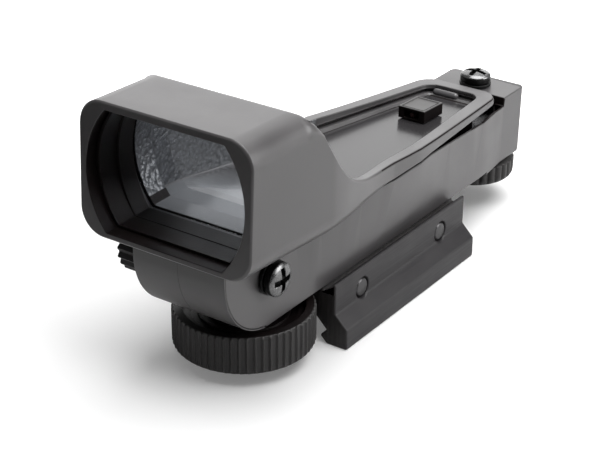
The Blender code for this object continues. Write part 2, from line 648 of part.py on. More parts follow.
def lock_screw(name, shank, origin, turn):
    """A pan-head screw with a cross recess, its head up along the object's own Z."""
    head = [(0, LOCK_HEAD_HEIGHT)]
    head += [(LOCK_HEAD_RADIUS * share, LOCK_HEAD_HEIGHT * (0.45 + 0.55 * math.sqrt(1 - share ** 2)))
             for share in (0.35, 0.62, 0.82, 0.94)]
    profile = head + [(LOCK_HEAD_RADIUS, LOCK_HEAD_HEIGHT * 0.35), (LOCK_HEAD_RADIUS, 0),
                      (LOCK_SHANK_RADIUS, 0), (LOCK_SHANK_RADIUS, -shank), (0, -shank)]
    spot = {"origin": origin, "turn": turn, "local": True}
    screw = piece(name, turned(profile, SMALL_ROUND), black_steel, **spot)
    for half_x, half_y in ((LOCK_RECESS_LENGTH / 2, LOCK_RECESS_WIDTH / 2),
                           (LOCK_RECESS_WIDTH / 2, LOCK_RECESS_LENGTH / 2)):
        cut(screw, box((-half_x, -half_y, LOCK_HEAD_HEIGHT - LOCK_RECESS_DEPTH),
                       (half_x, half_y, LOCK_HEAD_HEIGHT + GAP)), **spot)


def lock_washer(name, origin, turn):
    hole = LOCK_SHANK_RADIUS + RUN
    profile = [(hole, 0), (LOCK_WASHER_RADIUS, 0), (LOCK_WASHER_RADIUS, LOCK_WASHER_THICKNESS),
               (hole, LOCK_WASHER_THICKNESS)]
    piece(name, turned(profile, SMALL_ROUND), black_steel, origin=origin, turn=turn, local=True)


washer_low = BLOCK_TOP + GAP
head_low = washer_low + LOCK_WASHER_THICKNESS + GAP
lock_washer("windage_lock_washer", (0, CAM_Y, washer_low), (0, 0, 0))
rear_shank = head_low - spindle_top + REAR_LOCK_LENGTH
lock_screw("windage_lock_screw", rear_shank, (0, CAM_Y, head_low), (0, 0, 0))

facing_x = (0, math.pi / 2, 0)
plate_washer_x = ARM_HALF_WIDTH + GAP
plate_head_x = plate_washer_x + LOCK_WASHER_THICKNESS + GAP
lock_nut_x = LOCK_LUG_INNER + GAP
lock_washer("elevation_lock_washer", (plate_washer_x, LOCK_Y, LOCK_Z), facing_x)
side_shank = plate_head_x - lock_nut_x
lock_screw("elevation_lock_screw", side_shank, (plate_head_x, LOCK_Y, LOCK_Z), facing_x)


# Tail yoke, pushed sideways by the cam, and the pin that the housing tilts on

yoke_outline = [(-YOKE_EYE_HALF_WIDTH, YOKE_FRONT_Y), (YOKE_EYE_HALF_WIDTH, YOKE_FRONT_Y),
                (YOKE_EYE_HALF_WIDTH, YOKE_EYE_END_Y), (YOKE_HALF_WIDTH, YOKE_EYE_END_Y),
                (YOKE_HALF_WIDTH, YOKE_REAR_Y - LUG_RADIUS), (YOKE_EYE_HALF_WIDTH, YOKE_REAR_Y),
                (-YOKE_EYE_HALF_WIDTH, YOKE_REAR_Y), (-YOKE_HALF_WIDTH, YOKE_REAR_Y - LUG_RADIUS),
                (-YOKE_HALF_WIDTH, YOKE_EYE_END_Y), (-YOKE_EYE_HALF_WIDTH, YOKE_EYE_END_Y)]
yoke = piece("tail_yoke", prism(yoke_outline, "Z", YOKE_BOTTOM, YOKE_TOP), plain_steel,
             origin=elevation_axis)
cam_slot = (arc((0, CAM_Y - CAM_OFFSET - CAM_SLOT_PLAY), CAM_RADIUS + RUN, 180, 360, 10)
            + [(CAM_RADIUS + RUN, YOKE_REAR_Y + GAP), (-CAM_RADIUS - RUN, YOKE_REAR_Y + GAP)])
cut(yoke, prism(cam_slot, "Z", YOKE_BOTTOM - GAP, YOKE_TOP + GAP))
cut(yoke, crosswise(PIN_RADIUS + RUN, -YOKE_HALF_WIDTH, YOKE_HALF_WIDTH, PIN_Y, PIN_Z))
tail_pin = crosswise(PIN_RADIUS, -PIN_HALF_LENGTH, PIN_HALF_LENGTH, PIN_Y, PIN_Z)
piece("tail_pin", tail_pin, plain_steel, origin=(0, PIN_Y, PIN_Z))


# Housing: hood, sweeping sides, tray and the bosses under it

def housing_loop(y, lean):
    """Outline of the housing across Y, from the bottom middle round to the start."""
    half = housing_half_width(y)
    low = underside(y)
    top = housing_top(y)
    radius = low_radius(y)
    right = arc((half - radius, low + radius), radius, -90, 0, 4)
    radius = top_radius(y)
    right += arc((half - radius, top - radius), radius, 0, 90, 4)
    left = [(-x, z) for x, z in reversed(right)]
    outline = [(0, low)] + right + [(0, top)] + left
    return [(x, y + lean * (z - HOOD_BOTTOM), z) for x, z in outline]


def tray_loop(y, half, floor):
    """The tray across Y: leaning walls from the floor to a lip below the rim, then straight up."""
    lip = ramp(y, [(TAIL_START_Y, RIM_FRONT_TOP), (TAIL_END_Y, RIM_REAR_TOP)]) - TRAY_LIP
    foot = half - TRAY_COVE
    top = HOOD_TOP + HOOD_WALL
    return [(-foot, y, floor), (foot, y, floor), (half, y, lip), (half, y, top), (-half, y, top),
            (-half, y, lip)]


def tub_loop(y):
    half = arm_top_half_width(y) - TUB_CLEAR
    low = min(tray_floor(y), underside(y)) - TUB_FLOOR
    high = underside(y) + GAP
    return [(-half, y, low), (half, y, low), (half, y, high), (-half, y, high)]


tilt_axis = (0, PIN_Y, PIN_Z)
hood_places = stations(HOOD_FRONT_Y + HOOD_CORNER, ROOF_END_Y, 1)
sweep_places = stations(ROOF_END_Y, CREASE_Y, 4)[1:] + stations(CREASE_Y, SWEEP_END_Y, 7)[1:]
tail_places = [TAIL_START_Y, WEDGE_Y] + stations(WEDGE_Y, TAIL_END_Y - TAIL_CORNER, 3)[1:]
corner_places = [TAIL_END_Y - TAIL_CORNER * (1 - math.sin(math.radians(turn)))
                 for turn in (30, 55, 75)]
loops = [housing_loop(HOOD_FRONT_Y, HOOD_LEAN)]
loops += [housing_loop(y, 0) for y in hood_places + sweep_places + tail_places + corner_places]
housing = piece("housing", loft(loops), black_plastic, origin=tilt_axis)

tub_places = [TUB_START_Y] + stations(SWEEP_END_Y, TAIL_START_Y, 1)
tub_places += stations(WEDGE_Y, TRAY_END_Y, 3)
join(housing, loft([tub_loop(y) for y in tub_places]))
keel_join = tray_floor(KEEL_REAR_Y) - GAP
join(housing, box((-KEEL_HALF_WIDTH, KEEL_FRONT_Y, KEEL_BOTTOM),
                  (KEEL_HALF_WIDTH, KEEL_REAR_Y, keel_join)))
boss_top = UNDERSIDE + GAP
lug_outer = PLATE_INNER - GAP
join(housing, box((-BOSS_HALF_WIDTH, BOSS_FRONT_Y, BOSS_BOTTOM),
                  (lug_outer - GAP, BOSS_REAR_Y, boss_top)))
join(housing, box((LOCK_LUG_INNER, LOCK_LUG_FRONT_Y, LOCK_LUG_BOTTOM),
                  (lug_outer, BOSS_REAR_Y - GAP, underside(LOCK_LUG_FRONT_Y) + GAP)))
for side in (-1, 1):
    inner = YOKE_EYE_HALF_WIDTH + GAP
    lug_faces = sorted((side * inner, side * (inner + LUG_THICKNESS)))
    lug_top = tray_floor(PIN_Y + LUG_RADIUS) - GAP
    lug_outline = (arc((PIN_Y, PIN_Z), LUG_RADIUS, 180, 360, 8)
                   + [(PIN_Y + LUG_RADIUS, lug_top), (PIN_Y - LUG_RADIUS, lug_top)])
    join(housing, prism(lug_outline, "X", *lug_faces))
pin_reach = PIN_HALF_LENGTH + GAP
cut(housing, crosswise(PIN_RADIUS + RUN, -pin_reach, pin_reach, PIN_Y, PIN_Z))

cut(housing, prism(pocket_outline(0, 10), "Y", HOOD_FRONT_Y - HOOD_WALL, SEAT_Y))
cut(housing, prism(bore_outline(SEAT_STEP, 10), "Y", SEAT_Y - HOOD_WALL, ROOF_END_Y + HOOD_WALL))
slope_start = TRAY_END_Y - TRAY_REAR_SLOPE
tray_places = [ROOF_END_Y] + stations(CREASE_Y, SWEEP_END_Y, 7) + [TAIL_START_Y]
tray_places += stations(WEDGE_Y, slope_start, 2)
tray_loops = [tray_loop(y, tray_half_width(y), tray_floor(y)) for y in tray_places]
tray_rear_half = tray_half_width(TAIL_END_Y - TAIL_CORNER) - TAIL_EDGE
tray_loops.append(tray_loop(TRAY_END_Y, tray_rear_half, RIM_REAR_TOP - TRAY_LIP - GAP))
cut(housing, loft(tray_loops))
cut(housing, box((-KEEL_HALF_WIDTH + KEEL_WALL, KEEL_FRONT_Y + KEEL_WALL, KEEL_BOTTOM - GAP),
                 (KEEL_HALF_WIDTH - KEEL_WALL, KEEL_REAR_Y - KEEL_WALL, KEEL_ROOF)))
cut(housing, upright(EMITTER_HOLE_RADIUS, KEEL_ROOF - GAP, HOOD_TOP, y=EMITTER_Y))
nut_top = BOSS_BOTTOM + NUT_HEIGHT
cut(housing, upright(NUT_RADIUS + RUN, BOSS_BOTTOM - GAP, nut_top + GAP, y=STUD_Y))
cut(housing, upright(STUD_RADIUS + RUN, BOSS_BOTTOM - GAP, STUD_TOP + GAP, y=STUD_Y))
cut(housing, crosswise(LOCK_SHANK_RADIUS + RUN, BOSS_HALF_WIDTH + GAP, HOOD_HALF_WIDTH, LOCK_Y, LOCK_Z))
nut_pocket = LOCK_LUG_INNER + LOCK_NUT_THICKNESS + GAP
cut(housing, crosswise(LOCK_NUT_RADIUS + RUN, BOSS_HALF_WIDTH + GAP, nut_pocket, LOCK_Y, LOCK_Z))

nut_profile = [(STUD_RADIUS + RUN, BOSS_BOTTOM), (NUT_RADIUS, BOSS_BOTTOM), (NUT_RADIUS, nut_top),
               (STUD_RADIUS + RUN, nut_top)]
piece("elevation_nut", turned(nut_profile, SMALL_ROUND), brass, origin=elevation_axis, local=True)
lock_nut_profile = [(LOCK_SHANK_RADIUS + RUN, 0), (LOCK_NUT_RADIUS, 0),
                    (LOCK_NUT_RADIUS, LOCK_NUT_THICKNESS),
                    (LOCK_SHANK_RADIUS + RUN, LOCK_NUT_THICKNESS)]
piece("lock_nut", turned(lock_nut_profile, SMALL_ROUND), brass,
      origin=(LOCK_LUG_INNER, LOCK_Y, LOCK_Z), turn=facing_x, local=True)


# Lens against the shoulder of the hood, and the stepped frame that holds it

lens_rear = SEAT_Y - GAP
lens_front = lens_rear - LENS_THICKNESS
lens_outline = pocket_outline(GAP, 12)
piece("lens", prism(lens_outline, "Y", lens_front, lens_rear), coated_glass)
frame = piece("lens_frame", prism(lens_outline, "Y", FRAME_FRONT_Y, lens_front - GAP), black_plastic)
cut(frame, prism(bore_outline(0, 12), "Y", HOOD_FRONT_Y, lens_rear))
frame_mouth = flat_sided(BORE_HALF_WIDTH + FRAME_STEP, BORE_FLAT_HALF + FRAME_STEP / 4,
                         BORE_HALF_HEIGHT + FRAME_STEP / 6, 12)
cut(frame, prism(frame_mouth, "Y", HOOD_FRONT_Y, FRAME_STEP_Y))


# Emitter block on the tray floor, and the electronics in the keel under it

emitter_front = EMITTER_Y - EMITTER_LENGTH / 2
emitter_rear = EMITTER_Y + EMITTER_LENGTH / 2
emitter_half = EMITTER_WIDTH / 2


def on_floor(y, lift):
    return (y, tray_floor(y) + GAP + lift)


emitter_side = [on_floor(emitter_front, 0), on_floor(emitter_rear, 0),
                on_floor(emitter_rear, EMITTER_HEIGHT), on_floor(emitter_front, EMITTER_HEIGHT)]
emitter_block = piece("emitter_block", prism(emitter_side, "X", -emitter_half, emitter_half), black_plastic)
window_z = tray_floor(EMITTER_Y) + GAP + EMITTER_HEIGHT / 2
cut(emitter_block, box((-WINDOW_WIDTH / 2, emitter_front - GAP, window_z - WINDOW_HEIGHT / 2),
                       (WINDOW_WIDTH / 2, emitter_front + WINDOW_DEPTH, window_z + WINDOW_HEIGHT / 2)))
emitter_lamp_y = emitter_front + WINDOW_DEPTH / 2
lead_hole = upright(LEAD_RADIUS + GAP, tray_floor(EMITTER_Y) - GAP, window_z, y=emitter_lamp_y)
cut(emitter_block, lead_hole)
lead = upright(LEAD_RADIUS, BOARD_TOP + GAP, window_z + EMITTER_RADIUS, y=emitter_lamp_y)
emitter = piece("emitter", lead, red_emitter)
lamp_outline = circle((0, window_z), EMITTER_RADIUS, SMALL_ROUND)
join(emitter, prism(lamp_outline, "Y", emitter_front + GAP, emitter_lamp_y))
cut(housing, upright(LEAD_RADIUS + GAP, KEEL_ROOF - GAP, HOOD_TOP, y=emitter_lamp_y))

board_half = KEEL_HALF_WIDTH - KEEL_WALL - GAP
board_front = KEEL_FRONT_Y + KEEL_WALL + GAP
board_rear = KEEL_REAR_Y - KEEL_WALL - GAP
piece("circuit_board", box((-board_half, board_front, BOARD_TOP - BOARD_THICKNESS),
                           (board_half, board_rear, BOARD_TOP)), board_green)
piece("belly_cover", box((-board_half, board_front, KEEL_BOTTOM),
                         (board_half, board_rear, KEEL_BOTTOM + COVER_THICKNESS)), black_plastic)


# Battery drawer: the rounded chin with a cradle for two button cells

def chin(outer, inner, last, top, half_width):
    """Curved front of the drawer, from the parting line round to its lower end."""
    outer_arc = arc((NOSE_Y, NOSE_Z), outer, 180, last, 12)
    inner_arc = arc((NOSE_Y, NOSE_Z), inner, 180, last, 12)
    outline = [(NOSE_Y - outer, top)] + outer_arc + list(reversed(inner_arc)) + [(NOSE_Y - inner, top)]
    return prism(outline, "X", -half_width, half_width)


skin_inner = NOSE_RADIUS - SKIN
skin = chin(NOSE_RADIUS, skin_inner, NOSE_END_ANGLE, DRAWER_TOP, ARM_HALF_WIDTH)
plug = chin(skin_inner + SKIN / 2, NOSE_RADIUS - DRAWER_WALL, NOSE_END_ANGLE - PLUG_SETBACK,
            DRAWER_TOP - GAP, PLATE_INNER - GAP)
drawer = piece("battery_drawer", skin, black_plastic)
join(drawer, plug)
cell_low = CELL_X - CELL_LENGTH / 2
cell_high = CELL_X + CELL_LENGTH / 2
cradle_rear = CELL_Y + CELL_RADIUS + GAP + CRADLE_END
cradle_outline = [(cradle_rear, CRADLE_BOTTOM), (cradle_rear, CRADLE_TOP),
                  (NOSE_Y - PLATE_NOSE, CRADLE_TOP)]
cradle_outline += arc((NOSE_Y, NOSE_Z), skin_inner - GAP, 198, 232, 4)
cradle_outline.append((NOSE_Y - CELL_RADIUS, CRADLE_BOTTOM))
join(drawer, prism(cradle_outline, "X", cell_low + CRADLE_INSET, cell_high - CRADLE_INSET))
cut(drawer, crosswise(CELL_RADIUS + GAP, -PLATE_INNER, PLATE_INNER, CELL_Y, CELL_Z, ROUND))
piece("button_cells", crosswise(CELL_RADIUS, cell_low, cell_high, CELL_Y, CELL_Z, ROUND), plain_steel)
strip_x = cell_high + GAP
strip_y = CELL_Y + CELL_RADIUS - STRIP_WIDTH
piece("contact_strip", box((strip_x, strip_y, ARM_FLOOR_TOP + GAP),
                           (strip_x + STRIP_THICKNESS, strip_y + STRIP_WIDTH, STRIP_TOP)), brass)


# Power dial on the far plate, with its wiper and the track behind the plate

dial_axis = (0, DIAL_Y, DIAL_Z)
dial_inner = -ARM_HALF_WIDTH - GAP
dial_ribs = ribbed(DIAL_RADIUS, DIAL_RIB_DEPTH, DIAL_RIBS)
dial_outline = [(DIAL_Y + u, DIAL_Z + v) for u, v in dial_ribs]
track_inner = -PLATE_INNER + GAP
wiper_outer = track_inner + TRACK_THICKNESS + GAP
wiper_inner = wiper_outer + WIPER_THICKNESS
dial_rim = prism(dial_outline, "X", dial_inner - DIAL_THICKNESS, dial_inner)
power_dial = piece("power_dial", dial_rim, knob_plastic, origin=dial_axis)
join(power_dial, crosswise(DIAL_HUB_RADIUS, dial_inner - GAP, wiper_outer - GAP, DIAL_Y, DIAL_Z))
wiper = crosswise(WIPER_RADIUS, wiper_outer, wiper_inner, DIAL_Y, DIAL_Z)
piece("dial_wiper", wiper, brass, origin=dial_axis)
track_disc = crosswise(TRACK_RADIUS, track_inner, track_inner + TRACK_THICKNESS, DIAL_Y, DIAL_Z)
track = piece("switch_track", track_disc, board_green)
cut(track, crosswise(DIAL_HUB_RADIUS + RUN, -ARM_HALF_WIDTH, 0, DIAL_Y, DIAL_Z))
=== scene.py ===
import math

import bmesh
import bpy
from mathutils import Matrix, Vector


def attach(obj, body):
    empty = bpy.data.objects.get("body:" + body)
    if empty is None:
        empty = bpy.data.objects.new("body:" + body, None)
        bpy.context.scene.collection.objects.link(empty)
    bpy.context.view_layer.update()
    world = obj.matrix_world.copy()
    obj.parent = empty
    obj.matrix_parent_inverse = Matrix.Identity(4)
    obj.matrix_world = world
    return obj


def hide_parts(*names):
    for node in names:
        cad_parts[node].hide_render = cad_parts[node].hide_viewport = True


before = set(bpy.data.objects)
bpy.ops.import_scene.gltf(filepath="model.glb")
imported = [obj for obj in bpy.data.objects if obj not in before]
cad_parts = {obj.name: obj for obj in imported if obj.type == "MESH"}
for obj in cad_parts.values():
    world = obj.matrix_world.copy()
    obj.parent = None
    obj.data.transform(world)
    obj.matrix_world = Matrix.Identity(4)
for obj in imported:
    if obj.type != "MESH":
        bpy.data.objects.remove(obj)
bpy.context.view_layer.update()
MM = 0.001


# Rail clamp block: a length of black anodised aluminium extrusion with the fixed jaw on the
# lock screw's side. It is sawn to length, drilled for the cross screws and scooped at the
# front to clear the elevation wheel, and two screws from below hold it to the arm.
def pushed(outline, along, start, end):
    """An outline in millimetres, pushed along X, Y or Z into a solid in metres."""
    bm = bmesh.new()
    corners = []
    for u, v in outline:
        spot = {"X": (start, u, v), "Y": (u, start, v), "Z": (u, v, start)}[along]
        corners.append(bm.verts.new(Vector(spot) * MM))
    face = bm.faces.new(corners)
    reach = end - start
    step = {"X": (reach, 0, 0), "Y": (0, reach, 0), "Z": (0, 0, reach)}[along]
    pulled = bmesh.ops.extrude_face_region(bm, geom=[face], use_keep_orig=True)
    moved = [part for part in pulled["geom"] if isinstance(part, bmesh.types.BMVert)]
    bmesh.ops.translate(bm, verts=moved, vec=Vector(step) * MM)
    bmesh.ops.recalc_face_normals(bm, faces=bm.faces)
    return bm


def placed(name, bm):
    """Link a finished bmesh as an object at the origin."""
    bmesh.ops.recalc_face_normals(bm, faces=bm.faces)
    mesh = bpy.data.meshes.new(name)
    bm.to_mesh(mesh)
    bm.free()
    mesh.shade_smooth()
    piece = bpy.data.objects.new(name, mesh)
    bpy.context.scene.collection.objects.link(piece)
    return piece


def carve(piece, bm, how="DIFFERENCE"):
    """Cut or join a tool shape, which goes when the piece is settled."""
    tool = placed(piece.name + ".tool", bm)
    change = piece.modifiers.new("tool", "BOOLEAN")
    change.operation = how
    change.solver = "EXACT"
    change.object = tool


def settle(piece, edge, sharp=30.0):
    """Apply the tools, round the edges in millimetres and shade the flats flat."""
    if edge:
        bevel = piece.modifiers.new("edges", "BEVEL")
        bevel.width = edge * MM
        bevel.segments = 2
        bevel.limit_method = "ANGLE"
        bevel.angle_limit = math.radians(sharp)
        bevel.use_clamp_overlap = False
    piece.modifiers.new("flats", "WEIGHTED_NORMAL").keep_sharp = True
    graph = bpy.context.evaluated_depsgraph_get()
    mesh = bpy.data.meshes.new_from_object(piece.evaluated_get(graph))
    tools = [step.object for step in piece.modifiers if step.type == "BOOLEAN"]
    piece.modifiers.clear()
    rough_mesh = piece.data
    piece.data = mesh
    bpy.data.meshes.remove(rough_mesh)
    for tool in tools:
        bpy.data.objects.remove(tool, do_unlink=True)


def coat(piece, *materials):
    """Give a piece its materials, the first one on every face."""
    for material in materials:
        piece.data.materials.append(material)


def rod(along, at, radius, start, end, facets=48):
    """A round bar in millimetres; at gives its axis in the other two directions."""
    ring = [(at[0] + radius * math.cos(math.tau * n / facets),
             at[1] + radius * math.sin(math.tau * n / facets)) for n in range(facets)]
    return pushed(ring, along, start, end)


def finish_material(name, colour, roughness, metallic=0.0, shine=0.5):
    """A material with a Principled shader and its Object coordinates at hand."""
    material = bpy.data.materials.new(name)
    material.use_nodes = True
    shader = material.node_tree.nodes["Principled BSDF"]
    shader.inputs["Base Color"].default_value = (*colour, 1.0)
    shader.inputs["Roughness"].default_value = roughness
    shader.inputs["Metallic"].default_value = metallic
    shader.inputs["Specular IOR Level"].default_value = shine
    place = material.node_tree.nodes.new("ShaderNodeTexCoord")
    return material, material.node_tree, shader, place.outputs["Object"]


def speckle(tree, place, size, stretch=(1, 1, 1), detail=2.0):
    """Noise with blobs of about the given size in millimetres."""
    mapping = tree.nodes.new("ShaderNodeMapping")
    mapping.inputs["Scale"].default_value = stretch
    noise = tree.nodes.new("ShaderNodeTexNoise")
    noise.inputs["Scale"].default_value = 1.0 / (size * MM)
    noise.inputs["Detail"].default_value = detail
    tree.links.new(place, mapping.inputs["Vector"])
    tree.links.new(mapping.outputs["Vector"], noise.inputs["Vector"])
    return noise.outputs["Fac"]


def spread(tree, value, low, high):
    """Noise from 0.3 to 0.7 stretched over a range."""
    fit = tree.nodes.new("ShaderNodeMapRange")
    fit.inputs["From Min"].default_value = 0.3
    fit.inputs["From Max"].default_value = 0.7
    fit.inputs["To Min"].default_value = low
    fit.inputs["To Max"].default_value = high
    tree.links.new(value, fit.inputs["Value"])
    return fit.outputs["Result"]


def tint(tree, value, dark, light):
    """A colour between two, by a value from 0 to 1."""
    mix = tree.nodes.new("ShaderNodeMix")
    mix.data_type = "RGBA"
    mix.inputs["A"].default_value = (*dark, 1.0)
    mix.inputs["B"].default_value = (*light, 1.0)
    tree.links.new(value, mix.inputs["Factor"])
    return mix.outputs["Result"]


def mottle(tree, shader, noise, dark, light):
    """Let noise vary the colour."""
    colour = tint(tree, spread(tree, noise, 0, 1), dark, light)
    tree.links.new(colour, shader.inputs["Base Color"])


def scuff(tree, shader, noise, low, high):
    """Let noise vary the roughness."""
    tree.links.new(spread(tree, noise, low, high), shader.inputs["Roughness"])


def relief(tree, shader, value, height, invert=False):
    """Fine height in millimetres, felt as bumps."""
    bump = tree.nodes.new("ShaderNodeBump")
    bump.invert = invert
    bump.inputs["Distance"].default_value = height * MM
    tree.links.new(value, bump.inputs["Height"])
    tree.links.new(bump.outputs["Normal"], shader.inputs["Normal"])


def anodised_extrusion():
    """Black anodised aluminium with fine lines along the draw."""
    material, tree, shader, place = finish_material("black_anodised", (0.014, 0.013, 0.014),
                                                    0.42, shine=0.22)
    drawn = speckle(tree, place, 0.35, (1, 0.03, 1), 3.0)
    cloud = speckle(tree, place, 6.0)
    mottle(tree, shader, cloud, (0.011, 0.01, 0.011), (0.016, 0.015, 0.016))
    scuff(tree, shader, drawn, 0.37, 0.5)
    relief(tree, shader, drawn, 0.012)
    return material


def sawn_end():
    """The same metal with upright saw marks."""
    material, tree, shader, place = finish_material("sawn_end", (0.014, 0.013, 0.013), 0.5,
                                                    shine=0.25)
    stroke = speckle(tree, place, 0.5, (1, 1, 0.04), 3.0)
    mottle(tree, shader, stroke, (0.008, 0.007, 0.007), (0.026, 0.024, 0.024))
    relief(tree, shader, stroke, 0.03)
    return material


black_anodised = anodised_extrusion()
sawn_black = sawn_end()
clamp_end = 24.5
clamp_edge = 0.35
clamp_screw_ys = (-14.85, 14.85)
clamp_screw_height = 3.0
clamp_bore = 2.15
head_bore = 3.15
mount_screw_ys = (-6.5, 6.5)
mount_head_top = 2.6
screw_bore = 1.75
wheel_axis_y = -36.5
wheel_radius = 13.8
wheel_room = 0.6
saddle = 6.35
seat_end = -8.6
groove_inner = 9.9
groove_outer = 12.1
groove_floor = 5.7
clamp_half = 12.8
clamp_top = 7.6
jaw_half = 15.55
jaw_bottom = -5.8
below_jaw = -7.0
fixed_side = [(groove_inner, saddle), (groove_inner, groove_floor), (groove_outer, groove_floor),
              (groove_outer, clamp_top), (clamp_half, clamp_top), (clamp_half, 1.25),
              (jaw_half, -1.45), (jaw_half, jaw_bottom), (10.85, jaw_bottom), (9.3, -4.25),
              (10.8, -2.75)]


def finish_extrusion(piece):
    """Black anodised all over, with saw marks on the cut ends and the groove left matt."""
    coat(piece, black_anodised, sawn_black)
    for face in piece.data.polygons:
        x, y, z = face.center / MM
        cut_end = abs(face.normal.y) > 0.6 and abs(y) > 20.0
        across_groove = groove_inner - 0.1 < abs(x) < groove_outer + 0.05
        if cut_end or (across_groove and z > groove_floor - 0.3):
            face.material_index = 1


seat_side = fixed_side + [(8.05, 0), (seat_end, 0), (seat_end, saddle)]
clamp_block = placed("rail_clamp_block", pushed(seat_side, "Y", -clamp_end, clamp_end))
wheel_scoop = wheel_radius + wheel_room
carve(clamp_block, rod("Z", (0, wheel_axis_y), wheel_scoop, below_jaw, 8.0, 96))
for screw_y in clamp_screw_ys:
    carve(clamp_block, rod("X", (screw_y, clamp_screw_height), clamp_bore, -20, 20))
for screw_y in mount_screw_ys:
    carve(clamp_block, rod("Z", (0, screw_y), head_bore, below_jaw, mount_head_top))
    carve(clamp_block, rod("Z", (0, screw_y), screw_bore, below_jaw, clamp_top))
settle(clamp_block, clamp_edge)
finish_extrusion(clamp_block)
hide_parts("mount_block")
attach(clamp_block, "base")


# Loose jaw: a second strip of the same extrusion on the far side. It slides on the cross
# screws, whose slotted heads sit in counterbores on its outer face.
jaw_split = 8.9
counterbore_floor = -10.4
loose_side = [(-x, z) for x, z in fixed_side] + [(-jaw_split, -0.85), (-jaw_split, saddle)]
loose_jaw = placed("rail_clamp_jaw", pushed(loose_side, "Y", -clamp_end, clamp_end))
for screw_y in clamp_screw_ys:
    carve(loose_jaw, rod("X", (screw_y, clamp_screw_height), clamp_bore, -20, 0))
    carve(loose_jaw, rod("X", (screw_y, clamp_screw_height), head_bore, -20, counterbore_floor))
settle(loose_jaw, clamp_edge)
finish_extrusion(loose_jaw)
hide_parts("clamp_jaw")
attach(loose_jaw, "loose_jaw")


# Cross screws of the clamp: turned from steel and blackened in oil, with a slotted head on
# the loose jaw. Their threaded ends come out flush with the fixed side.
def turned(profile, at, facing, facets=48):
    """A profile of (radius, height) in millimetres spun about an axis through a point."""
    bm = bmesh.new()
    points = [bm.verts.new(Vector((radius, 0, height)) * MM) for radius, height in profile]
    edges = [bm.edges.new(pair) for pair in zip(points, points[1:])]
    if profile[0][0] > 0:
        edges.append(bm.edges.new((points[-1], points[0])))
    bmesh.ops.spin(bm, geom=points + edges, axis=(0, 0, 1), cent=(0, 0, 0), angle=math.tau,
                   steps=facets, use_merge=True)
    bmesh.ops.remove_doubles(bm, verts=bm.verts, dist=0.001 * MM)
    bmesh.ops.transform(bm, matrix=standing(at, facing), verts=bm.verts)
    bmesh.ops.recalc_face_normals(bm, faces=bm.faces)
    return bm


def standing(at, facing):
    """The turn and move that take the Z axis to a facing direction through a point in mm."""
    turn = Vector((0, 0, 1)).rotation_difference(Vector(facing)).to_matrix().to_4x4()
    return Matrix.Translation(Vector(at) * MM) @ turn


def brick(low, high, at=(0, 0, 0), facing=(0, 0, 1)):
    """A box between two corners in millimetres, turned to a facing direction."""
    bm = bmesh.new()
    bmesh.ops.create_cube(bm, size=1.0)
    middle = (Vector(low) + Vector(high)) / 2 * MM
    reach = (Vector(high) - Vector(low)) * MM
    bmesh.ops.scale(bm, vec=reach, verts=bm.verts)
    bmesh.ops.translate(bm, vec=middle, verts=bm.verts)
    bmesh.ops.transform(bm, matrix=standing(at, facing), verts=bm.verts)
    return bm


def screw_steel(name, colour, roughness):
    """Steel with small scuffs that are lighter than the rest."""
    material, tree, shader, place = finish_material(name, colour, roughness, 0.9)
    wear = speckle(tree, place, 0.5, detail=4.0)
    mottle(tree, shader, wear, colour, tuple(channel * 1.5 for channel in colour))
    scuff(tree, shader, wear, roughness - 0.07, roughness + 0.09)
    relief(tree, shader, wear, 0.01)
    return material


oiled_steel = screw_steel("oiled_steel", (0.045, 0.044, 0.045), 0.36)
clamp_screw_seat = -10.7
clamp_screw_stem = 12.75 - clamp_screw_seat
clamp_screw_head = 2.9
clamp_screw_shank = 1.95
clamp_screw_profile = [(0, 2.1), (2.7, 2.1), (clamp_screw_head, 1.9), (clamp_screw_head, 0),
                       (clamp_screw_shank, 0), (clamp_screw_shank, 0.3 - clamp_screw_stem),
                       (1.65, -clamp_screw_stem), (0, -clamp_screw_stem)]
far_side = (-1, 0, 0)
for end_name, screw_y in zip(("front", "rear"), clamp_screw_ys):
    seat = (clamp_screw_seat, screw_y, clamp_screw_height)
    clamp_screw = placed("rail_clamp_screw_" + end_name,
                         turned(clamp_screw_profile, seat, far_side))
    carve(clamp_screw, brick((-0.5, -4, 1.0), (0.5, 4, 3), seat, far_side))
    settle(clamp_screw, 0.1)
    coat(clamp_screw, oiled_steel)
    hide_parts("clamp_screw_" + end_name)
    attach(clamp_screw, end_name + "_clamp_screw")


# Mount screws: plain steel socket screws in counterbores in the clamp's seat, driven up
# into the floor of the arm.
bare_steel = screw_steel("bare_steel", (0.42, 0.42, 0.43), 0.28)
mount_screw_profile = [(0, 9.3), (1.5, 9.3), (1.5, 2.3), (2.9, 2.3), (2.9, 0.5), (2.7, 0.3),
                       (0, 0.3)]
socket_radius = 1.45
upwards = (0, 0, 1)
for end_name, screw_y in zip(("front", "rear"), mount_screw_ys):
    mount_screw = placed("mount_screw_piece_" + end_name,
                         turned(mount_screw_profile, (0, screw_y, 0), upwards))
    carve(mount_screw, rod("Z", (0, screw_y), socket_radius, -1.0, 1.6, 6))
    settle(mount_screw, 0.08)
    coat(mount_screw, bare_steel)
    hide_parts("mount_screw_" + end_name)
    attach(mount_screw, "base")


# Arm: the long moulding that everything hangs on, a channel of black satin plastic. Its two
# side plates carry the drawer and dial at the front, and a tall block at the rear holds the
# windage shaft. Its sides spread upwards to meet the housing's sweep.
def between(y, points):
    """Straight lines through (y, value) points, level beyond both ends."""
    if y <= points[0][0]:
        return points[0][1]
    for (y0, value0), (y1, value1) in zip(points, points[1:]):
        if y <= y1:
            return value0 + (value1 - value0) * (y - y0) / (y1 - y0)
    return points[-1][1]


def spots(start, end, count):
    """Evenly spaced values, both ends included."""
    return [start + (end - start) * n / count for n in range(count + 1)]


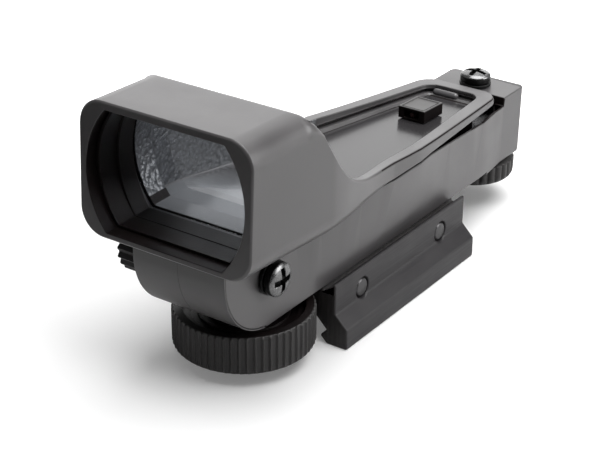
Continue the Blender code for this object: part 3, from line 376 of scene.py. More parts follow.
def bow(centre, radius, start, end, count):
    """Points of an arc, angles in degrees."""
    angles = [math.radians(turn) for turn in spots(start, end, count)]
    return [(centre[0] + radius * math.cos(turn), centre[1] + radius * math.sin(turn))
            for turn in angles]


def skinned(sections):
    """A closed skin through section loops given as lists of points in millimetres."""
    bm = bmesh.new()
    rings = []
    for section in sections:
        corners = [bm.verts.new(Vector(point) * MM) for point in section]
        rings.append([bm.edges.new(pair) for pair in zip(corners, corners[1:] + corners[:1])])
    for ring, following in zip(rings, rings[1:]):
        bmesh.ops.bridge_loops(bm, edges=ring + following)
    bmesh.ops.edgeloop_fill(bm, edges=rings[0])
    bmesh.ops.edgeloop_fill(bm, edges=rings[-1])
    bmesh.ops.connect_verts_nonplanar(bm, angle_limit=math.radians(0.01), faces=bm.faces)
    bmesh.ops.recalc_face_normals(bm, faces=bm.faces)
    return bm


def satin_plastic(name, dark, light, roughness, grain, height, shine=0.5):
    """Moulded black plastic with a spark-eroded grain and faint handling marks."""
    material, tree, shader, place = finish_material(name, dark, roughness, shine=shine)
    fine = speckle(tree, place, grain)
    cloud = speckle(tree, place, 9.0, detail=4.0)
    mottle(tree, shader, cloud, dark, light)
    scuff(tree, shader, cloud, roughness - 0.04, roughness + 0.05)
    relief(tree, shader, fine, height)
    return material


arm_plastic = satin_plastic("arm_plastic", (0.036, 0.034, 0.035), (0.043, 0.041, 0.042),
                            roughness=0.38, grain=0.28, height=0.01)
# Near-black matt plastic. On the lens frame and the lens's blackened edge it is their own colour.
# On the other pieces it is painted shade in hollows, under parts and on sides out of the light.
black_and_painted_shade = satin_plastic("black_and_painted_shade", (0.004, 0.003, 0.003), (0.007, 0.005, 0.005),
                            roughness=0.4, grain=0.3, height=0.012, shine=0.1)
hood_front = -60.0
hood_bottom = 24.7
sweep_start = -34.5
sweep_end = -6.0
waist_half = 14.0
waist_bottom = 23.2
tail_start = 4.0
tail_drop = 8.0
tail_end = 44.3
underside_line = [(hood_front, hood_bottom), (sweep_start, waist_bottom),
                  (tail_drop, waist_bottom), (tail_end, 21.35)]
seam = 0.25
nose = (-41.9, 20.65)
chin_radius = 14.0
chin_skin = 0.2
plug_inner = 12.7
nose_radius = chin_radius - chin_skin - 0.06
nose_end = 262.0
arm_half = 10.3
arm_bottom = 6.65
arm_floor = arm_bottom + 2.5
arm_top = waist_bottom - seam
shoulder_start = 36.0
shoulder_top = 19.5
block_foot = 39.4
block_front = 46.9
block_rear = 56.2
block_bottom = 5.8
block_top = 21.45
block_half = 9.0
block_round = 1.5
cavity_half = 8.2
cavity_end = 44.7
yoke_room = ((-6.5, 36.0, 8.3), (6.5, 54.0, 19.8))
stud_bore = 2.25
shaft_bore = 3.35
dial_bore = 2.25
lock_at = (-42.6, 17.0)
lock_travel = 2.5
dial_at = (-47.4, 17.9)
windage_y = 50.0


def tail_half(y):
    """Half the housing's width along its tail."""
    return between(y, [(tail_start, waist_half), (tail_end, 9.2)])


def arm_top_half(y):
    """Half the arm's width along its upper edge."""
    front = between(y, [(sweep_start, arm_half), (sweep_end, waist_half)])
    return max(min(front, tail_half(y)), block_half)


nose_arc = bow(nose, nose_radius, 180, nose_end, 40)
nose_front = nose[0] - nose_radius
chin_foot = nose[0] + chin_radius * math.cos(math.radians(nose_end)) + 0.3
arm_side = [(nose_front, between(nose_front, underside_line) - seam)] + nose_arc
arm_side += [(chin_foot, nose_arc[-1][1]), (chin_foot, arm_bottom), (block_foot, arm_bottom),
             (block_foot, block_bottom), (block_rear, block_bottom), (block_rear, block_top),
             (block_front, block_top), (block_front, shoulder_top),
             (shoulder_start, shoulder_top), (tail_drop, arm_top), (sweep_start, arm_top)]
arm_body = placed("arm_moulding", pushed(arm_side, "X", -19, 19))

arm_ys = [hood_front] + spots(sweep_start, sweep_end, 12) + spots(tail_start, block_front, 12)
arm_places = [(y, 0.0) for y in arm_ys]
arm_places += [(block_rear - block_round + v, block_round - u)
               for u, v in bow((0, 0), block_round, 0, 90, 10)[:-1]]
arm_places += [(block_rear + 0.3, block_round)]
arm_sections = []
for y, pulled_in in arm_places:
    top = arm_top_half(y) - pulled_in
    foot = between(y, [(shoulder_start, arm_half), (block_front, block_half)]) - pulled_in
    right = [(foot - 0.15, 5.5), (foot, arm_bottom), (top, waist_bottom), (top, 39.0)]
    left = [(-x, z) for x, z in reversed(right)]
    arm_sections.append([(x, y, z) for x, z in right + left])
carve(arm_body, skinned(arm_sections), "INTERSECT")
floor_start = nose[0] + plug_inner * math.cos(math.radians(nose_end)) + 0.3
cavity = [(-62, 0), (floor_start, 0), (floor_start, arm_floor), (cavity_end, arm_floor),
          (cavity_end, 60), (-62, 60)]
carve(arm_body, pushed(cavity, "X", -cavity_half, cavity_half))
rebate_ys = spots(sweep_start, sweep_end, 4) + spots(sweep_end, tail_start, 2)[1:]
rebate_ys += spots(tail_drop, block_front - 0.3, 6)
rebate_sections = []
for y in rebate_ys:
    half = arm_top_half(y) - 0.8
    low = between(y, [(tail_drop, waist_bottom), (shoulder_start, shoulder_top)]) - 3.0
    rebate_sections.append([(-half, y, low), (half, y, low), (half, y, 26), (-half, y, 26)])
carve(arm_body, skinned(rebate_sections))
carve(arm_body, brick(*yoke_room))
carve(arm_body, rod("Z", (0, wheel_axis_y), stud_bore, 4, 12))
carve(arm_body, rod("Z", (0, windage_y), shaft_bore, 0, 11))
carve(arm_body, rod("Z", (0, windage_y), screw_bore, 18, 26))
for screw_y in mount_screw_ys:
    carve(arm_body, rod("Z", (0, screw_y), screw_bore, 0, 12))
lock_slot = bow(lock_at, screw_bore, 180, 360, 16)
lock_slot += bow((lock_at[0], lock_at[1] + lock_travel), screw_bore, 0, 180, 16)
carve(arm_body, pushed(lock_slot, "X", 5.7, 20))
carve(arm_body, rod("X", dial_at, dial_bore, -20, 0))
settle(arm_body, 0.3)
coat(arm_body, arm_plastic, black_and_painted_shade)
# The faces in the notch before the rear block, and every face turned inwards, are coated
# near-black as painted shade.
for face in arm_body.data.polygons:
    x, y, z = face.center / MM
    facing = face.normal
    near_notch = 30.0 < y < block_front + 0.3 and shoulder_top - 1.0 < z < block_top - 0.15
    in_notch = near_notch and (facing.y < -0.5 or facing.z > 0.5)
    inwards = facing.x * x < -0.2 * abs(x)
    if in_notch or inwards:
        face.material_index = 1
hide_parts("arm")
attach(arm_body, "base")


# Contacts inside the arm: a strip of sheet brass that touches the cells, and the ring of
# circuit laminate that the dial's wiper runs on, both pressed into the plates.
def drawn_brass():
    """Bare brass with fine upright lines."""
    material, tree, shader, place = finish_material("drawn_brass", (0.62, 0.42, 0.16), 0.3, 1.0)
    drawn = speckle(tree, place, 0.3, (1, 1, 0.05), 3.0)
    mottle(tree, shader, drawn, (0.52, 0.34, 0.12), (0.7, 0.5, 0.22))
    scuff(tree, shader, drawn, 0.22, 0.4)
    return material


def green_laminate():
    """Circuit board under green resist, with the weave just showing."""
    material, tree, shader, place = finish_material("green_laminate", (0.02, 0.12, 0.05), 0.4)
    weave = speckle(tree, place, 0.5, detail=3.0)
    mottle(tree, shader, weave, (0.015, 0.1, 0.04), (0.03, 0.16, 0.07))
    relief(tree, shader, weave, 0.01)
    return material


def dress(node, material):
    """Give a carried solid its finish."""
    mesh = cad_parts[node].data
    mesh.materials.clear()
    mesh.materials.append(material)


brass_strip = drawn_brass()
laminate = green_laminate()
dress("contact_strip", brass_strip)
dress("switch_track", laminate)


# Elevation wheel: a black moulded knob with fine sharp ribs and a dished top, pressed on a
# steel stud. A spring clip above the arm's floor keeps the stud from dropping out.
def ribbed_rim(radius, depth, ribs, ridge):
    """Outline of a wheel in mm: narrow ridges, each a share of the pitch, over flat valleys."""
    valley = radius - depth
    outline = []
    for n in range(ribs):
        pitch = math.tau / ribs
        for share, reach in ((0.0, valley), (1 - 1.6 * ridge, valley),
                             (1 - 0.95 * ridge, radius), (1 - 0.65 * ridge, radius)):
            turn = pitch * (n + share)
            outline.append((reach * math.cos(turn), reach * math.sin(turn)))
    return outline


def wheel_body(outline, levels, at_y):
    """A wheel along Z through (height, inset) levels; the inset takes the ribs down first."""
    outer = max(math.hypot(x, y) for x, y in outline)
    sections = []
    for height, inset in levels:
        section = []
        for x, y in outline:
            reach = math.hypot(x, y)
            share = min(reach, outer - inset) / reach
            section.append((x * share, y * share + at_y, height))
        sections.append(section)
    return skinned(sections)


def round_groove(at_y, inner, outer, low, high):
    """A ring-shaped tool about a wheel's axis."""
    ring = [(inner, low), (outer, low), (outer, high), (inner, high)]
    return turned(ring, (0, at_y, 0), upwards, 96)


knob_plastic = satin_plastic("knob_plastic", (0.014, 0.013, 0.013), (0.02, 0.019, 0.019),
                             roughness=0.45, grain=0.22, height=0.008, shine=0.26)
wheel_axis = (0, wheel_axis_y)
dish_radius = 11.8
wheel_rim = ribbed_rim(wheel_radius, 0.34, 58, 0.3)
wheel_levels = [(-2.45, 0.75), (-2.3, 0.36), (-2.0, 0.1), (-1.6, 0.0), (4.9, 0.0), (5.2, 0.12),
                (5.4, 0.42)]
wheel = placed("elevation_wheel_knob", wheel_body(wheel_rim, wheel_levels, wheel_axis_y))
carve(wheel, rod("Z", wheel_axis, dish_radius, 4.2, 7, 96))
for inner, outer in ((7.0, 8.3), (8.9, 10.2)):
    carve(wheel, round_groove(wheel_axis_y, inner, outer, 3.9, 5.0))
carve(wheel, rod("Z", wheel_axis, 6.0, -1.8, 6.35, 64), "UNION")
carve(wheel, rod("Z", wheel_axis, stud_bore, 0.05, 8))
carve(wheel, round_groove(wheel_axis_y, 8.0, dish_radius, -3, -2.0))
settle(wheel, 0.1, 45)
coat(wheel, knob_plastic, black_and_painted_shade)
# The top and its dish, which lie under the arm's nose, are coated near-black as painted shade.
for face in wheel.data.polygons:
    off_axis = math.hypot(face.center.x / MM, face.center.y / MM - wheel_axis_y)
    if face.center.z > 3.0 * MM and off_axis < wheel_radius - 0.75:
        face.material_index = 1
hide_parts("elevation_knob")
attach(wheel, "elevation_wheel")
dress("elevation_stud", bare_steel)
dress("knob_clip", bare_steel)


# Windage wheel: a smaller black knob with rounded flutes under the rear block, pressed on the
# lower end of a steel shaft whose eccentric pushes the tail sideways.
def fluted_rim(radius, depth, flutes, fine=10):
    """Outline of a wheel in mm with round-backed ribs and narrow valleys."""
    outline = []
    for n in range(flutes * fine):
        lift = abs(math.sin(math.pi * n / fine)) ** 0.7
        turn = math.tau * n / (flutes * fine)
        reach = radius - depth + depth * lift
        outline.append((reach * math.cos(turn), reach * math.sin(turn)))
    return outline


windage_levels = [(0.6, 1.5), (0.66, 1.1), (0.85, 0.7), (1.2, 0.32), (1.7, 0.08), (2.2, 0.0),
                  (4.7, 0.0), (5.0, 0.25)]
windage_wheel = placed("windage_wheel_knob",
                       wheel_body(fluted_rim(9.65, 0.6, 30), windage_levels, windage_y))
carve(windage_wheel, rod("Z", (0, windage_y), 5.0, 0.9, 5.5, 64), "UNION")
carve(windage_wheel, rod("Z", (0, windage_y), shaft_bore, 2.2, 8))
carve(windage_wheel, round_groove(windage_y, 5.5, 7.6, 0, 1.0))
settle(windage_wheel, 0.0)
coat(windage_wheel, knob_plastic)
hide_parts("windage_knob")
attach(windage_wheel, "windage_wheel")
dress("windage_cam", bare_steel)


# Tail yoke and pin: a steel fork round the eccentric, and the cross pin that the housing
# tilts on. Both are hidden in the arm.
dress("tail_yoke", bare_steel)
dress("tail_pin", bare_steel)


# Housing: hood, sweeping sides and tray in one black moulding, with bosses, lugs and a keel
# under it. The outside is satin, and the tray's floor is polished so that it stays clean.
# Its underside, the undercut below the rim, a line along the rim's outer edge and the tunnel
# inside the hood are painted near-black as shade, and the floor under the hood carries
# painted light.
hood_lean = 0.05
hood_half = 18.9
hood_top = 50.6
roof_end = -43.0
roof_end_top = 50.0
roof_fall = 10.4
hood_round = 5.0
rim_round = 0.6
tail_round = 4.0
tail_straight = tail_end - tail_round
lens_height = 37.5
lens_shoulder = -45.7
tray_start = roof_end + 2.2
tray_end = 40.8
tray_corner = 2.6
tray_slope = 3.0
gutter = 0.55
leg_at = (0, 24.5)
leg_bore = 0.8
tail_pin_at = (36.0, 12.8)
lug_radius = 2.5
lug_top = 20.89


def housing_half(y):
    """Half the housing's width: hood, sweep, tapering tail and its rounded end."""
    way = min(max((y - sweep_start) / (sweep_end - sweep_start), 0.0), 1.0)
    share = 0.3 * (1 + math.cos(math.pi * way)) + 0.4 * (1 - way)
    width = tail_half(y) + (hood_half - waist_half) * share
    past = y - tail_straight
    if past > 0:
        width -= tail_round - math.sqrt(max(tail_round ** 2 - past * past, 0))
    return width


def rim_top(y):
    """Height of the rim round the tray."""
    return between(y, [(tail_start, 25.1), (tail_end, 22.75)])


def housing_top(y):
    """Height of the roof, and of the sides where they fall to the rim."""
    if y <= roof_end:
        return between(y, [(hood_front, hood_top), (roof_end, roof_end_top)])
    return rim_top(y) + (roof_end_top - rim_top(y)) / (1 + ((y - roof_end) / roof_fall) ** 2)


def housing_section(y, lean=0.0, inset=0.0):
    """One loop across the housing, from the middle of its underside."""
    half = housing_half(y) - inset
    low = between(y, underside_line) + inset
    top = housing_top(y) - inset
    radius = between(y, [(sweep_start, hood_round), (sweep_end, rim_round)])
    right = bow((half - radius, low + radius), radius, -90, 0, 12)
    radius = between(y, [(roof_end, hood_round), (roof_end + 5.0, rim_round)])
    right += bow((half - radius, top - radius), radius, 0, 90, 12)
    left = [(-x, z) for x, z in reversed(right)]
    loop = [(0, low)] + right + [(0, top)] + left
    return [(x, y + lean * (z - hood_bottom), z) for x, z in loop]


def tray_floor(y):
    """Height of the tray's floor."""
    return between(y, [(roof_end, 25.3), (tail_end, 20.9)])


def tray_half(y):
    """Half the tray's width between its rims."""
    return housing_half(y) - between(y, [(sweep_start, 1.4), (tail_start, 2.6), (tail_end, 3.5)])


def lens_outline(half_width, flat_half, half_height, count=40):
    """Bowed sides and a flat top and bottom about the optical axis, in X and Z."""
    shift = (flat_half ** 2 + half_height ** 2 - half_width ** 2) / (2 * (half_width - flat_half))
    radius = half_width + shift
    reach = math.degrees(math.asin(half_height / radius))
    right = bow((-shift, lens_height), radius, -reach, reach, count)
    return right + bow((shift, lens_height), radius, 180 - reach, 180 + reach, count)


mouth_edge = [(0.0, 0.45), (0.14, 0.15), (0.45, 0.0)]
housing_sections = [housing_section(hood_front + step, hood_lean, inset)
                    for step, inset in mouth_edge]
housing_ys = spots(-55.0, roof_end, 2) + spots(roof_end, sweep_end, 44)[1:]
housing_ys += spots(sweep_end, tail_start, 4)[1:] + spots(tail_start, tail_straight, 8)[1:]
housing_ys += [tail_end - tail_round * (1 - math.sin(math.radians(turn)))
               for turn in (12, 24, 36, 48, 60, 70, 78)]
housing_sections += [housing_section(y) for y in housing_ys]
housing = placed("housing_moulding", skinned(housing_sections))

tub_sections = []
for y in spots(-28.0, sweep_end, 3) + [tail_start] + spots(tail_drop, tray_end, 3):
    half = arm_top_half(y) - 2.2
    low = min(tray_floor(y), between(y, underside_line)) - 1.2
    high = between(y, underside_line) + 0.3
    tub_sections.append([(-half, y, low), (half, y, low), (half, y, high), (-half, y, high)])
carve(housing, skinned(tub_sections), "UNION")
keel = ((-6.6, 8.0, 15.2), (6.6, 31.0, 21.27))
stud_boss = ((-5.0, -40.2, 11.6), (7.6, -31.5, 23.5))
lock_lug = ((5.7, -47.5, 12.8), (7.9, -31.8, 24.26))
for low, high in (keel, stud_boss, lock_lug):
    carve(housing, brick(low, high), "UNION")
tail_lug = bow(tail_pin_at, lug_radius, 180, 360, 16)
tail_lug += [(tail_pin_at[0] + lug_radius, lug_top), (tail_pin_at[0] - lug_radius, lug_top)]
for low, high in ((-6.2, -4.1), (4.1, 6.2)):
    carve(housing, pushed(tail_lug, "X", low, high), "UNION")
carve(housing, rod("X", tail_pin_at, screw_bore, -6.5, 6.5))
carve(housing, pushed(lens_outline(17.3, 12.85, 11.6), "Y", -66, lens_shoulder))
carve(housing, pushed(lens_outline(16.5, 12.4, 11.0), "Y", -47, -39.6))

tray_ys = [tray_start] + spots(sweep_start, sweep_end, 24) + [tail_start]
tray_ys += spots(tail_drop, tray_end - tray_slope, 3)
tray_places = [(y, 0.0, 0.0) for y in tray_ys]
for turn in spots(0, 90, 8)[1:]:
    forward = tray_corner * math.sin(math.radians(turn))
    pulled_in = tray_corner * (1 - math.cos(math.radians(turn)))
    tray_places.append((tray_end - tray_corner + forward, pulled_in, turn / 90))
tray_sections = []
gutter_sections = []
for y, pulled_in, climb in tray_places:
    half = tray_half(min(y, tail_straight)) - pulled_in
    lip = max(rim_top(y) - 0.4, tray_floor(y) + 0.3)
    floor = tray_floor(y) + (lip - 0.3 - tray_floor(y)) * climb
    foot = half - 1.3
    tray_sections.append([(-foot, y, floor), (foot, y, floor), (half, y, lip), (half, y, 60),
                          (-half, y, 60), (-half, y, lip)])
    if y > sweep_end - 6.0:
        wide = half + gutter
        back = y + gutter * climb
        low, high = lip - 0.85, lip - 0.08
        gutter_sections.append([(-wide, back, low), (wide, back, low), (wide, back, high),
                                (-wide, back, high)])
carve(housing, skinned(tray_sections))
carve(housing, skinned(gutter_sections))
carve(housing, brick((-5.4, 9.2, 14), (5.4, 29.8, 19.9)))
carve(housing, rod("Z", leg_at, leg_bore, 19, 30))
carve(housing, rod("Z", wheel_axis, 3.15, 11, 15.6))
carve(housing, rod("Z", wheel_axis, stud_bore, 11, 16.9))
carve(housing, rod("X", lock_at, screw_bore, 5.3, 19))
carve(housing, rod("X", lock_at, 2.85, 5.3, 7.2))
settle(housing, 0.22, 35)

housing_plastic = satin_plastic("housing_plastic", (0.031, 0.029, 0.03), (0.038, 0.036, 0.037),
                                roughness=0.36, grain=0.28, height=0.01, shine=0.47)


def polished_plastic():
    """The tray's floor: smooth and dark, with painted light that turns it pale under the hood."""
    dark = (0.02, 0.019, 0.02)
    material, tree, shader, place = finish_material("tray_floor_plastic", dark, 0.2, shine=0.3)
    axes = tree.nodes.new("ShaderNodeSeparateXYZ")
    tree.links.new(place, axes.inputs["Vector"])
    fade = tree.nodes.new("ShaderNodeMapRange")
    fade.inputs["From Min"].default_value = -20.0 * MM
    fade.inputs["From Max"].default_value = -32.0 * MM
    tree.links.new(axes.outputs["Y"], fade.inputs["Value"])
    # Painted light: pale from 20 mm to 32 mm in front of the middle and beyond, under the hood.
    painted_light_under_hood = tint(tree, fade.outputs["Result"], dark, (0.09, 0.092, 0.095))
    tree.links.new(painted_light_under_hood, shader.inputs["Base Color"])
    relief(tree, shader, speckle(tree, place, 1.4), 0.003)
    return material


def pebbled_plastic():
    """A coarse pebble grain against stray light, a cell every 0.8 mm, with a painted highlight on
    each pebble's crown and painted shade in the gaps between.
    """
    material, tree, shader, place = finish_material("pebbled_wall", (0.05, 0.052, 0.056), 0.3,
                                                    shine=0.6)
    cells = tree.nodes.new("ShaderNodeTexVoronoi")
    cells.feature = "SMOOTH_F1"
    cells.inputs["Scale"].default_value = 1.0 / (0.8 * MM)
    cells.inputs["Smoothness"].default_value = 0.6
    tree.links.new(place, cells.inputs["Vector"])
    low = cells.outputs["Distance"]
    # Painted light and shade: pale at the middle of each cell, near-black towards its edges.
    shade = tint(tree, low, (0.085, 0.088, 0.094), (0.012, 0.012, 0.013))
    tree.links.new(shade, shader.inputs["Base Color"])
    relief(tree, shader, low, 0.18, invert=True)
    return material


def housing_finish(x, y, z, facing):
    """The material of one face of the housing, by its number."""
    # Number 2 is the near-black material, which on the housing is painted shade.
    satin, polished, matt, pebbled = range(4)
    outwards = facing.x * x + facing.z * (z - lens_height) >= 0.1
    in_bore = abs(x) < 17.4 and abs(z - lens_height) < 11.7
    in_tunnel = in_bore and y < tray_start + 0.2 and not outwards
    behind_lens = in_tunnel and y > lens_shoulder + 0.1
    past_mouth = y > hood_front + hood_lean * (z - hood_bottom) + 0.1
    past_wall = abs(x) - tray_half(min(y, tail_straight))
    if facing.z > 0.9 and abs(z - tray_floor(y)) < 0.15:
        return polished
    if behind_lens and z > 28.0:
        return pebbled
    # The tunnel's floor takes the tray's floor material, with its painted light.
    if behind_lens and facing.z > 0.9:
        return polished
    # A narrow band of the rim's outer rounded edge is painted near-black as the shade of a crease.
    on_rim = y > sweep_end - 6.0 and z > rim_top(y) - 0.8 and 0.5 < facing.z < 0.85
    if on_rim and facing.x * x > 0:
        return matt
    # The undercut below the rim's lip is painted near-black as shade.
    in_gutter = y > sweep_end - 8.0 and 0.1 < past_wall < 0.7
    if in_gutter and rim_top(y) - 1.5 < z < rim_top(y) - 0.3:
        return matt
    # Everything under the housing's underside is painted near-black as shade.
    if y > -28.0 and z < between(y, underside_line) - 0.15:
        return matt
    # The tunnel inside the hood, past its mouth, is painted near-black as shade.
    if in_tunnel and past_mouth:
        return matt
    on_wall = facing.x * x < -0.5 * abs(x) and abs(x) > 10.0 and z > 25.5
    if on_wall and roof_end < y < tail_start:
        return pebbled
    return satin


coat(housing, housing_plastic, polished_plastic(), black_and_painted_shade, pebbled_plastic())
for face in housing.data.polygons:
    face.material_index = housing_finish(*(face.center / MM), face.normal)
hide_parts("housing")
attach(housing, "hood")


# Threaded inserts: knurled brass, one pressed into the front boss for the stud and one into
# the lug for the lock screw.
dress("elevation_nut", brass_strip)
dress("lock_nut", brass_strip)


# Lens frame: a stepped black ring, moulded in the lens's outline, that presses the lens
# against the shoulder in the hood.
def hooped(sections):
    """A closed ring through section loops that runs back to its first loop."""
    bm = bmesh.new()
    rings = [[bm.verts.new(Vector(point) * MM) for point in section] for section in sections]
    for ring, following in zip(rings, rings[1:] + rings[:1]):
        for n in range(len(ring)):
            bm.faces.new((ring[n - 1], ring[n], following[n], following[n - 1]))
    bmesh.ops.connect_verts_nonplanar(bm, angle_limit=math.radians(0.01), faces=bm.faces)
    bmesh.ops.recalc_face_normals(bm, faces=bm.faces)
    return bm


lens_size = (17.0, 12.55, 11.3)
frame_mouth = (16.2, 12.4, 11.0)
frame_bore = (15.6, 12.3, 10.9)
frame_front = -57.0
frame_step = -52.5
frame_back = -48.5
frame_loops = [(frame_front, lens_size), (frame_front, frame_mouth), (frame_step, frame_mouth),
               (frame_step, frame_bore), (frame_back, frame_bore), (frame_back, lens_size)]
frame_sections = [[(x, y, z) for x, z in lens_outline(*reach)] for y, reach in frame_loops]
lens_frame = placed("lens_frame_ring", hooped(frame_sections))
settle(lens_frame, 0.06, 35)
coat(lens_frame, black_and_painted_shade)
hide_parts("lens_frame")
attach(lens_frame, "hood")


# Lens: a flat-sided disc of clear glass with a blue-grey coating that sends the dot back
# to the eye. Its edge is ground and blackened, and the frame clamps it to the shoulder.
def coated_glass():
    """Clear glass of high index with a faintly uneven coating."""
    material, tree, shader, place = finish_material("coated_glass", (0.76, 0.78, 0.82), 0.03)
    shader.inputs["Transmission Weight"].default_value = 1.0
    shader.inputs["IOR"].default_value = 1.8
    mottle(tree, shader, speckle(tree, place, 8.0), (0.72, 0.75, 0.79), (0.78, 0.8, 0.84))
    return material


lens = placed("lens_glass", pushed(lens_outline(*lens_size), "Y", -48.2, -46.0))
settle(lens, 0.15, 35)
coat(lens, coated_glass(), black_and_painted_shade)
for face in lens.data.polygons:
    if abs(face.normal.y) < 0.9:
        face.material_index = 1
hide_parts("lens")
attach(lens, "hood")


# Emitter: a small black block standing on the tray's floor. A window in its front lets out
# the light of a red diode, whose legs go down through the floor to the circuit board.
emitter_front = 22.7
emitter_rear = 30.3
emitter_half = 3.2
emitter_height = 2.6
emitter_z = tray_floor(26.5) + 1.6
window_half = (1.8, 0.85)
border = 0.55


def over_floor(y, lift):
    """A point (y, z) above the tray's floor, which slopes."""
    return (y, tray_floor(y) + 0.3 + lift)


def leaning_box(front, rear, low, high):
    """Four corners of a box that leans with the tray's floor."""
    return [over_floor(front, low), over_floor(rear, low), over_floor(rear, high),
            over_floor(front, high)]


emitter_side = leaning_box(emitter_front, emitter_rear, 0, emitter_height)
emitter_block = placed("emitter_housing", pushed(emitter_side, "X", -emitter_half, emitter_half))
carve(emitter_block, brick((-window_half[0], 20, emitter_z - window_half[1]),
                           (window_half[0], emitter_front + 3.6, emitter_z + window_half[1])))
carve(emitter_block, rod("Z", leg_at, leg_bore, 19, emitter_z))
panel = leaning_box(emitter_front + border, emitter_rear - border, emitter_height - 0.12, 4.0)
carve(emitter_block, pushed(panel, "X", border - emitter_half, emitter_half - border))
settle(emitter_block, 0.16, 35)
emitter_plastic = satin_plastic("emitter_plastic", (0.02, 0.019, 0.019), (0.026, 0.024, 0.024),
                                roughness=0.42, grain=0.3, height=0.006, shine=0.33)
coat(emitter_block, emitter_plastic, black_and_painted_shade)
# The flanks, the window and the lower part of the block take the near-black material as painted
# shade; the top keeps the satin.
for face in emitter_block.data.polygons:
    y, z = face.center.y / MM, face.center.z / MM
    if face.normal.z < 0.3 or z < tray_floor(y) + emitter_height - 0.6:
        face.material_index = 1
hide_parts("emitter_block")
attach(emitter_block, "hood")


def red_resin():
    """Dark red resin of an unlit diode."""
    material, tree, shader, place = finish_material("red_resin", (0.012, 0.0006, 0.0006), 0.4)
    cloud = speckle(tree, place, 0.4)
    mottle(tree, shader, cloud, (0.01, 0.0005, 0.0005), (0.015, 0.001, 0.001))
    return material


dress("emitter", red_resin())


# Tray strip: a small pill of smooth black plastic with a clear lacquer on it, stuck along the
# tray's sloping rear wall beside the emitter.
strip_profile = [(0, 0), (0.45, 0.1), (0.72, 0.4), (0.8, 0.8), (0.8, 5.4), (0.72, 5.8),
                 (0.45, 6.1), (0, 6.2)]
tray_strip = placed("tray_strip_pill", turned(strip_profile, (-4.9, 40.2, 21.95), (1, 0, 0)))
settle(tray_strip, 0.05)
coat(tray_strip, satin_plastic("strip_plastic", (0.06, 0.058, 0.06), (0.07, 0.068, 0.07),
                               roughness=0.16, grain=0.8, height=0.002))
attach(tray_strip, "hood")


# Electronics: a circuit board of green laminate in the keel under the tray. A cover of the
# arm's black plastic snaps in below it.
dress("circuit_board", laminate)
dress("belly_cover", arm_plastic)


# Lock screws: blackened pan heads with a cross recess, each on a washer painted near-black as
# the shade under its head, with their flanks painted as shade too. One grips the housing's lug
# through the side plate, and one stands on the rear block over the shaft.
blackened_steel = screw_steel("blackened_steel", (0.1, 0.1, 0.101), 0.28)
# Near-black steel as painted shade: on the washers under the heads and on the heads' flanks.
painted_shade_steel = screw_steel("painted_shade_steel", (0.012, 0.012, 0.012), 0.42)


def flat_washer(name, node, body, at, facing):
    """A washer whose lower face is at a point, coated near-black as painted shade under the head.
    """
    profile = [(screw_bore, 0), (3.5, 0), (3.5, 0.6), (screw_bore, 0.6)]
    washer = placed(name, turned(profile, at, facing))
    settle(washer, 0.08)
    coat(washer, painted_shade_steel)
    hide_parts(node)
    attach(washer, body)


def pan_head(name, node, body, at, facing, stem):
    """A cross-head screw whose head sits at a point, worn on top, with its flanks, underside and
    recess walls painted near-black as shade.
    """
    head, shank, dome = 3.35, 1.5, 1.1
    wing, blade = 2.4, 0.55
    profile = [(0, 2 * dome)]
    for turn in spots(15, 82, 6):
        bend = math.radians(turn)
        profile.append((head * math.sin(bend), dome + dome * math.cos(bend)))
    profile += [(head, 0.95), (head, 0), (shank, 0), (shank, -stem), (0, -stem)]
    screw = placed(name, turned(profile, at, facing))
    for across, thick in ((wing, blade), (blade, wing)):
        carve(screw, brick((-across, -thick, 0.9), (across, thick, 4), at, facing))
    settle(screw, 0.1, 35)
    coat(screw, blackened_steel, painted_shade_steel)
    # Flanks, underside and recess walls: painted shade.
    for face in screw.data.polygons:
        along = (face.center / MM - Vector(at)).dot(Vector(facing))
        if along < 1.05 or abs(face.normal.dot(Vector(facing))) < 0.2:
            face.material_index = 1
    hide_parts(node)
    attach(screw, body)


flat_washer("side_washer", "elevation_lock_washer", "elevation_lock", (10.6, *lock_at), (1, 0, 0))
pan_head("side_lock_screw", "elevation_lock_screw", "elevation_lock",
         (11.5, *lock_at), (1, 0, 0), 5.5)
flat_washer("rear_washer", "windage_lock_washer", "windage_lock", (0, windage_y, 21.75), upwards)
pan_head("rear_lock_screw", "windage_lock_screw", "windage_lock",
         (0, windage_y, 22.65), upwards, 10.35)


# Battery drawer: the rounded chin under the hood, moulded with a cradle for two button
# cells. It pulls out forwards, and its skin covers the front edges of the side plates.
chin_top = 24.0
plug_half = 7.9
cell_at = (-47.5, 17.6)
cell_room = 6.1


def chin_section(outer, inner, last, top):
    """A bent strip round the nose between two radii, up to a top edge."""
    outside = bow(nose, outer, 180, last, 48)
    inside = list(reversed(bow(nose, inner, 180, last, 48)))
    return [(nose[0] - outer, top)] + outside + inside + [(nose[0] - inner, top)]


skin = chin_section(chin_radius, chin_radius - chin_skin, nose_end, chin_top)
drawer = placed("battery_drawer_chin", pushed(skin, "X", -arm_half, arm_half))
plug = chin_section(chin_radius - chin_skin / 2, plug_inner, nose_end - 2, chin_top - 0.3)
carve(drawer, pushed(plug, "X", -plug_half, plug_half), "UNION")
cradle = [(-40.7, 10.5), (-40.7, 17.0), (-55.1, 17.0)]
cradle += bow(nose, 13.2, 198, 232, 8) + [(-47.7, 10.5)]
carve(drawer, pushed(cradle, "X", -5.2, 4.2), "UNION")
carve(drawer, rod("X", cell_at, cell_room, -cavity_half, cavity_half, 64))
mould_line = chin_section(chin_radius + 0.3, chin_radius - 0.05, nose_end - 3, chin_top - 1.0)
carve(drawer, pushed(mould_line, "X", -0.05, 0.05))
settle(drawer, 0.04, 35)
coat(drawer, arm_plastic)
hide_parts("battery_drawer")
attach(drawer, "drawer")
dress("button_cells", bare_steel)


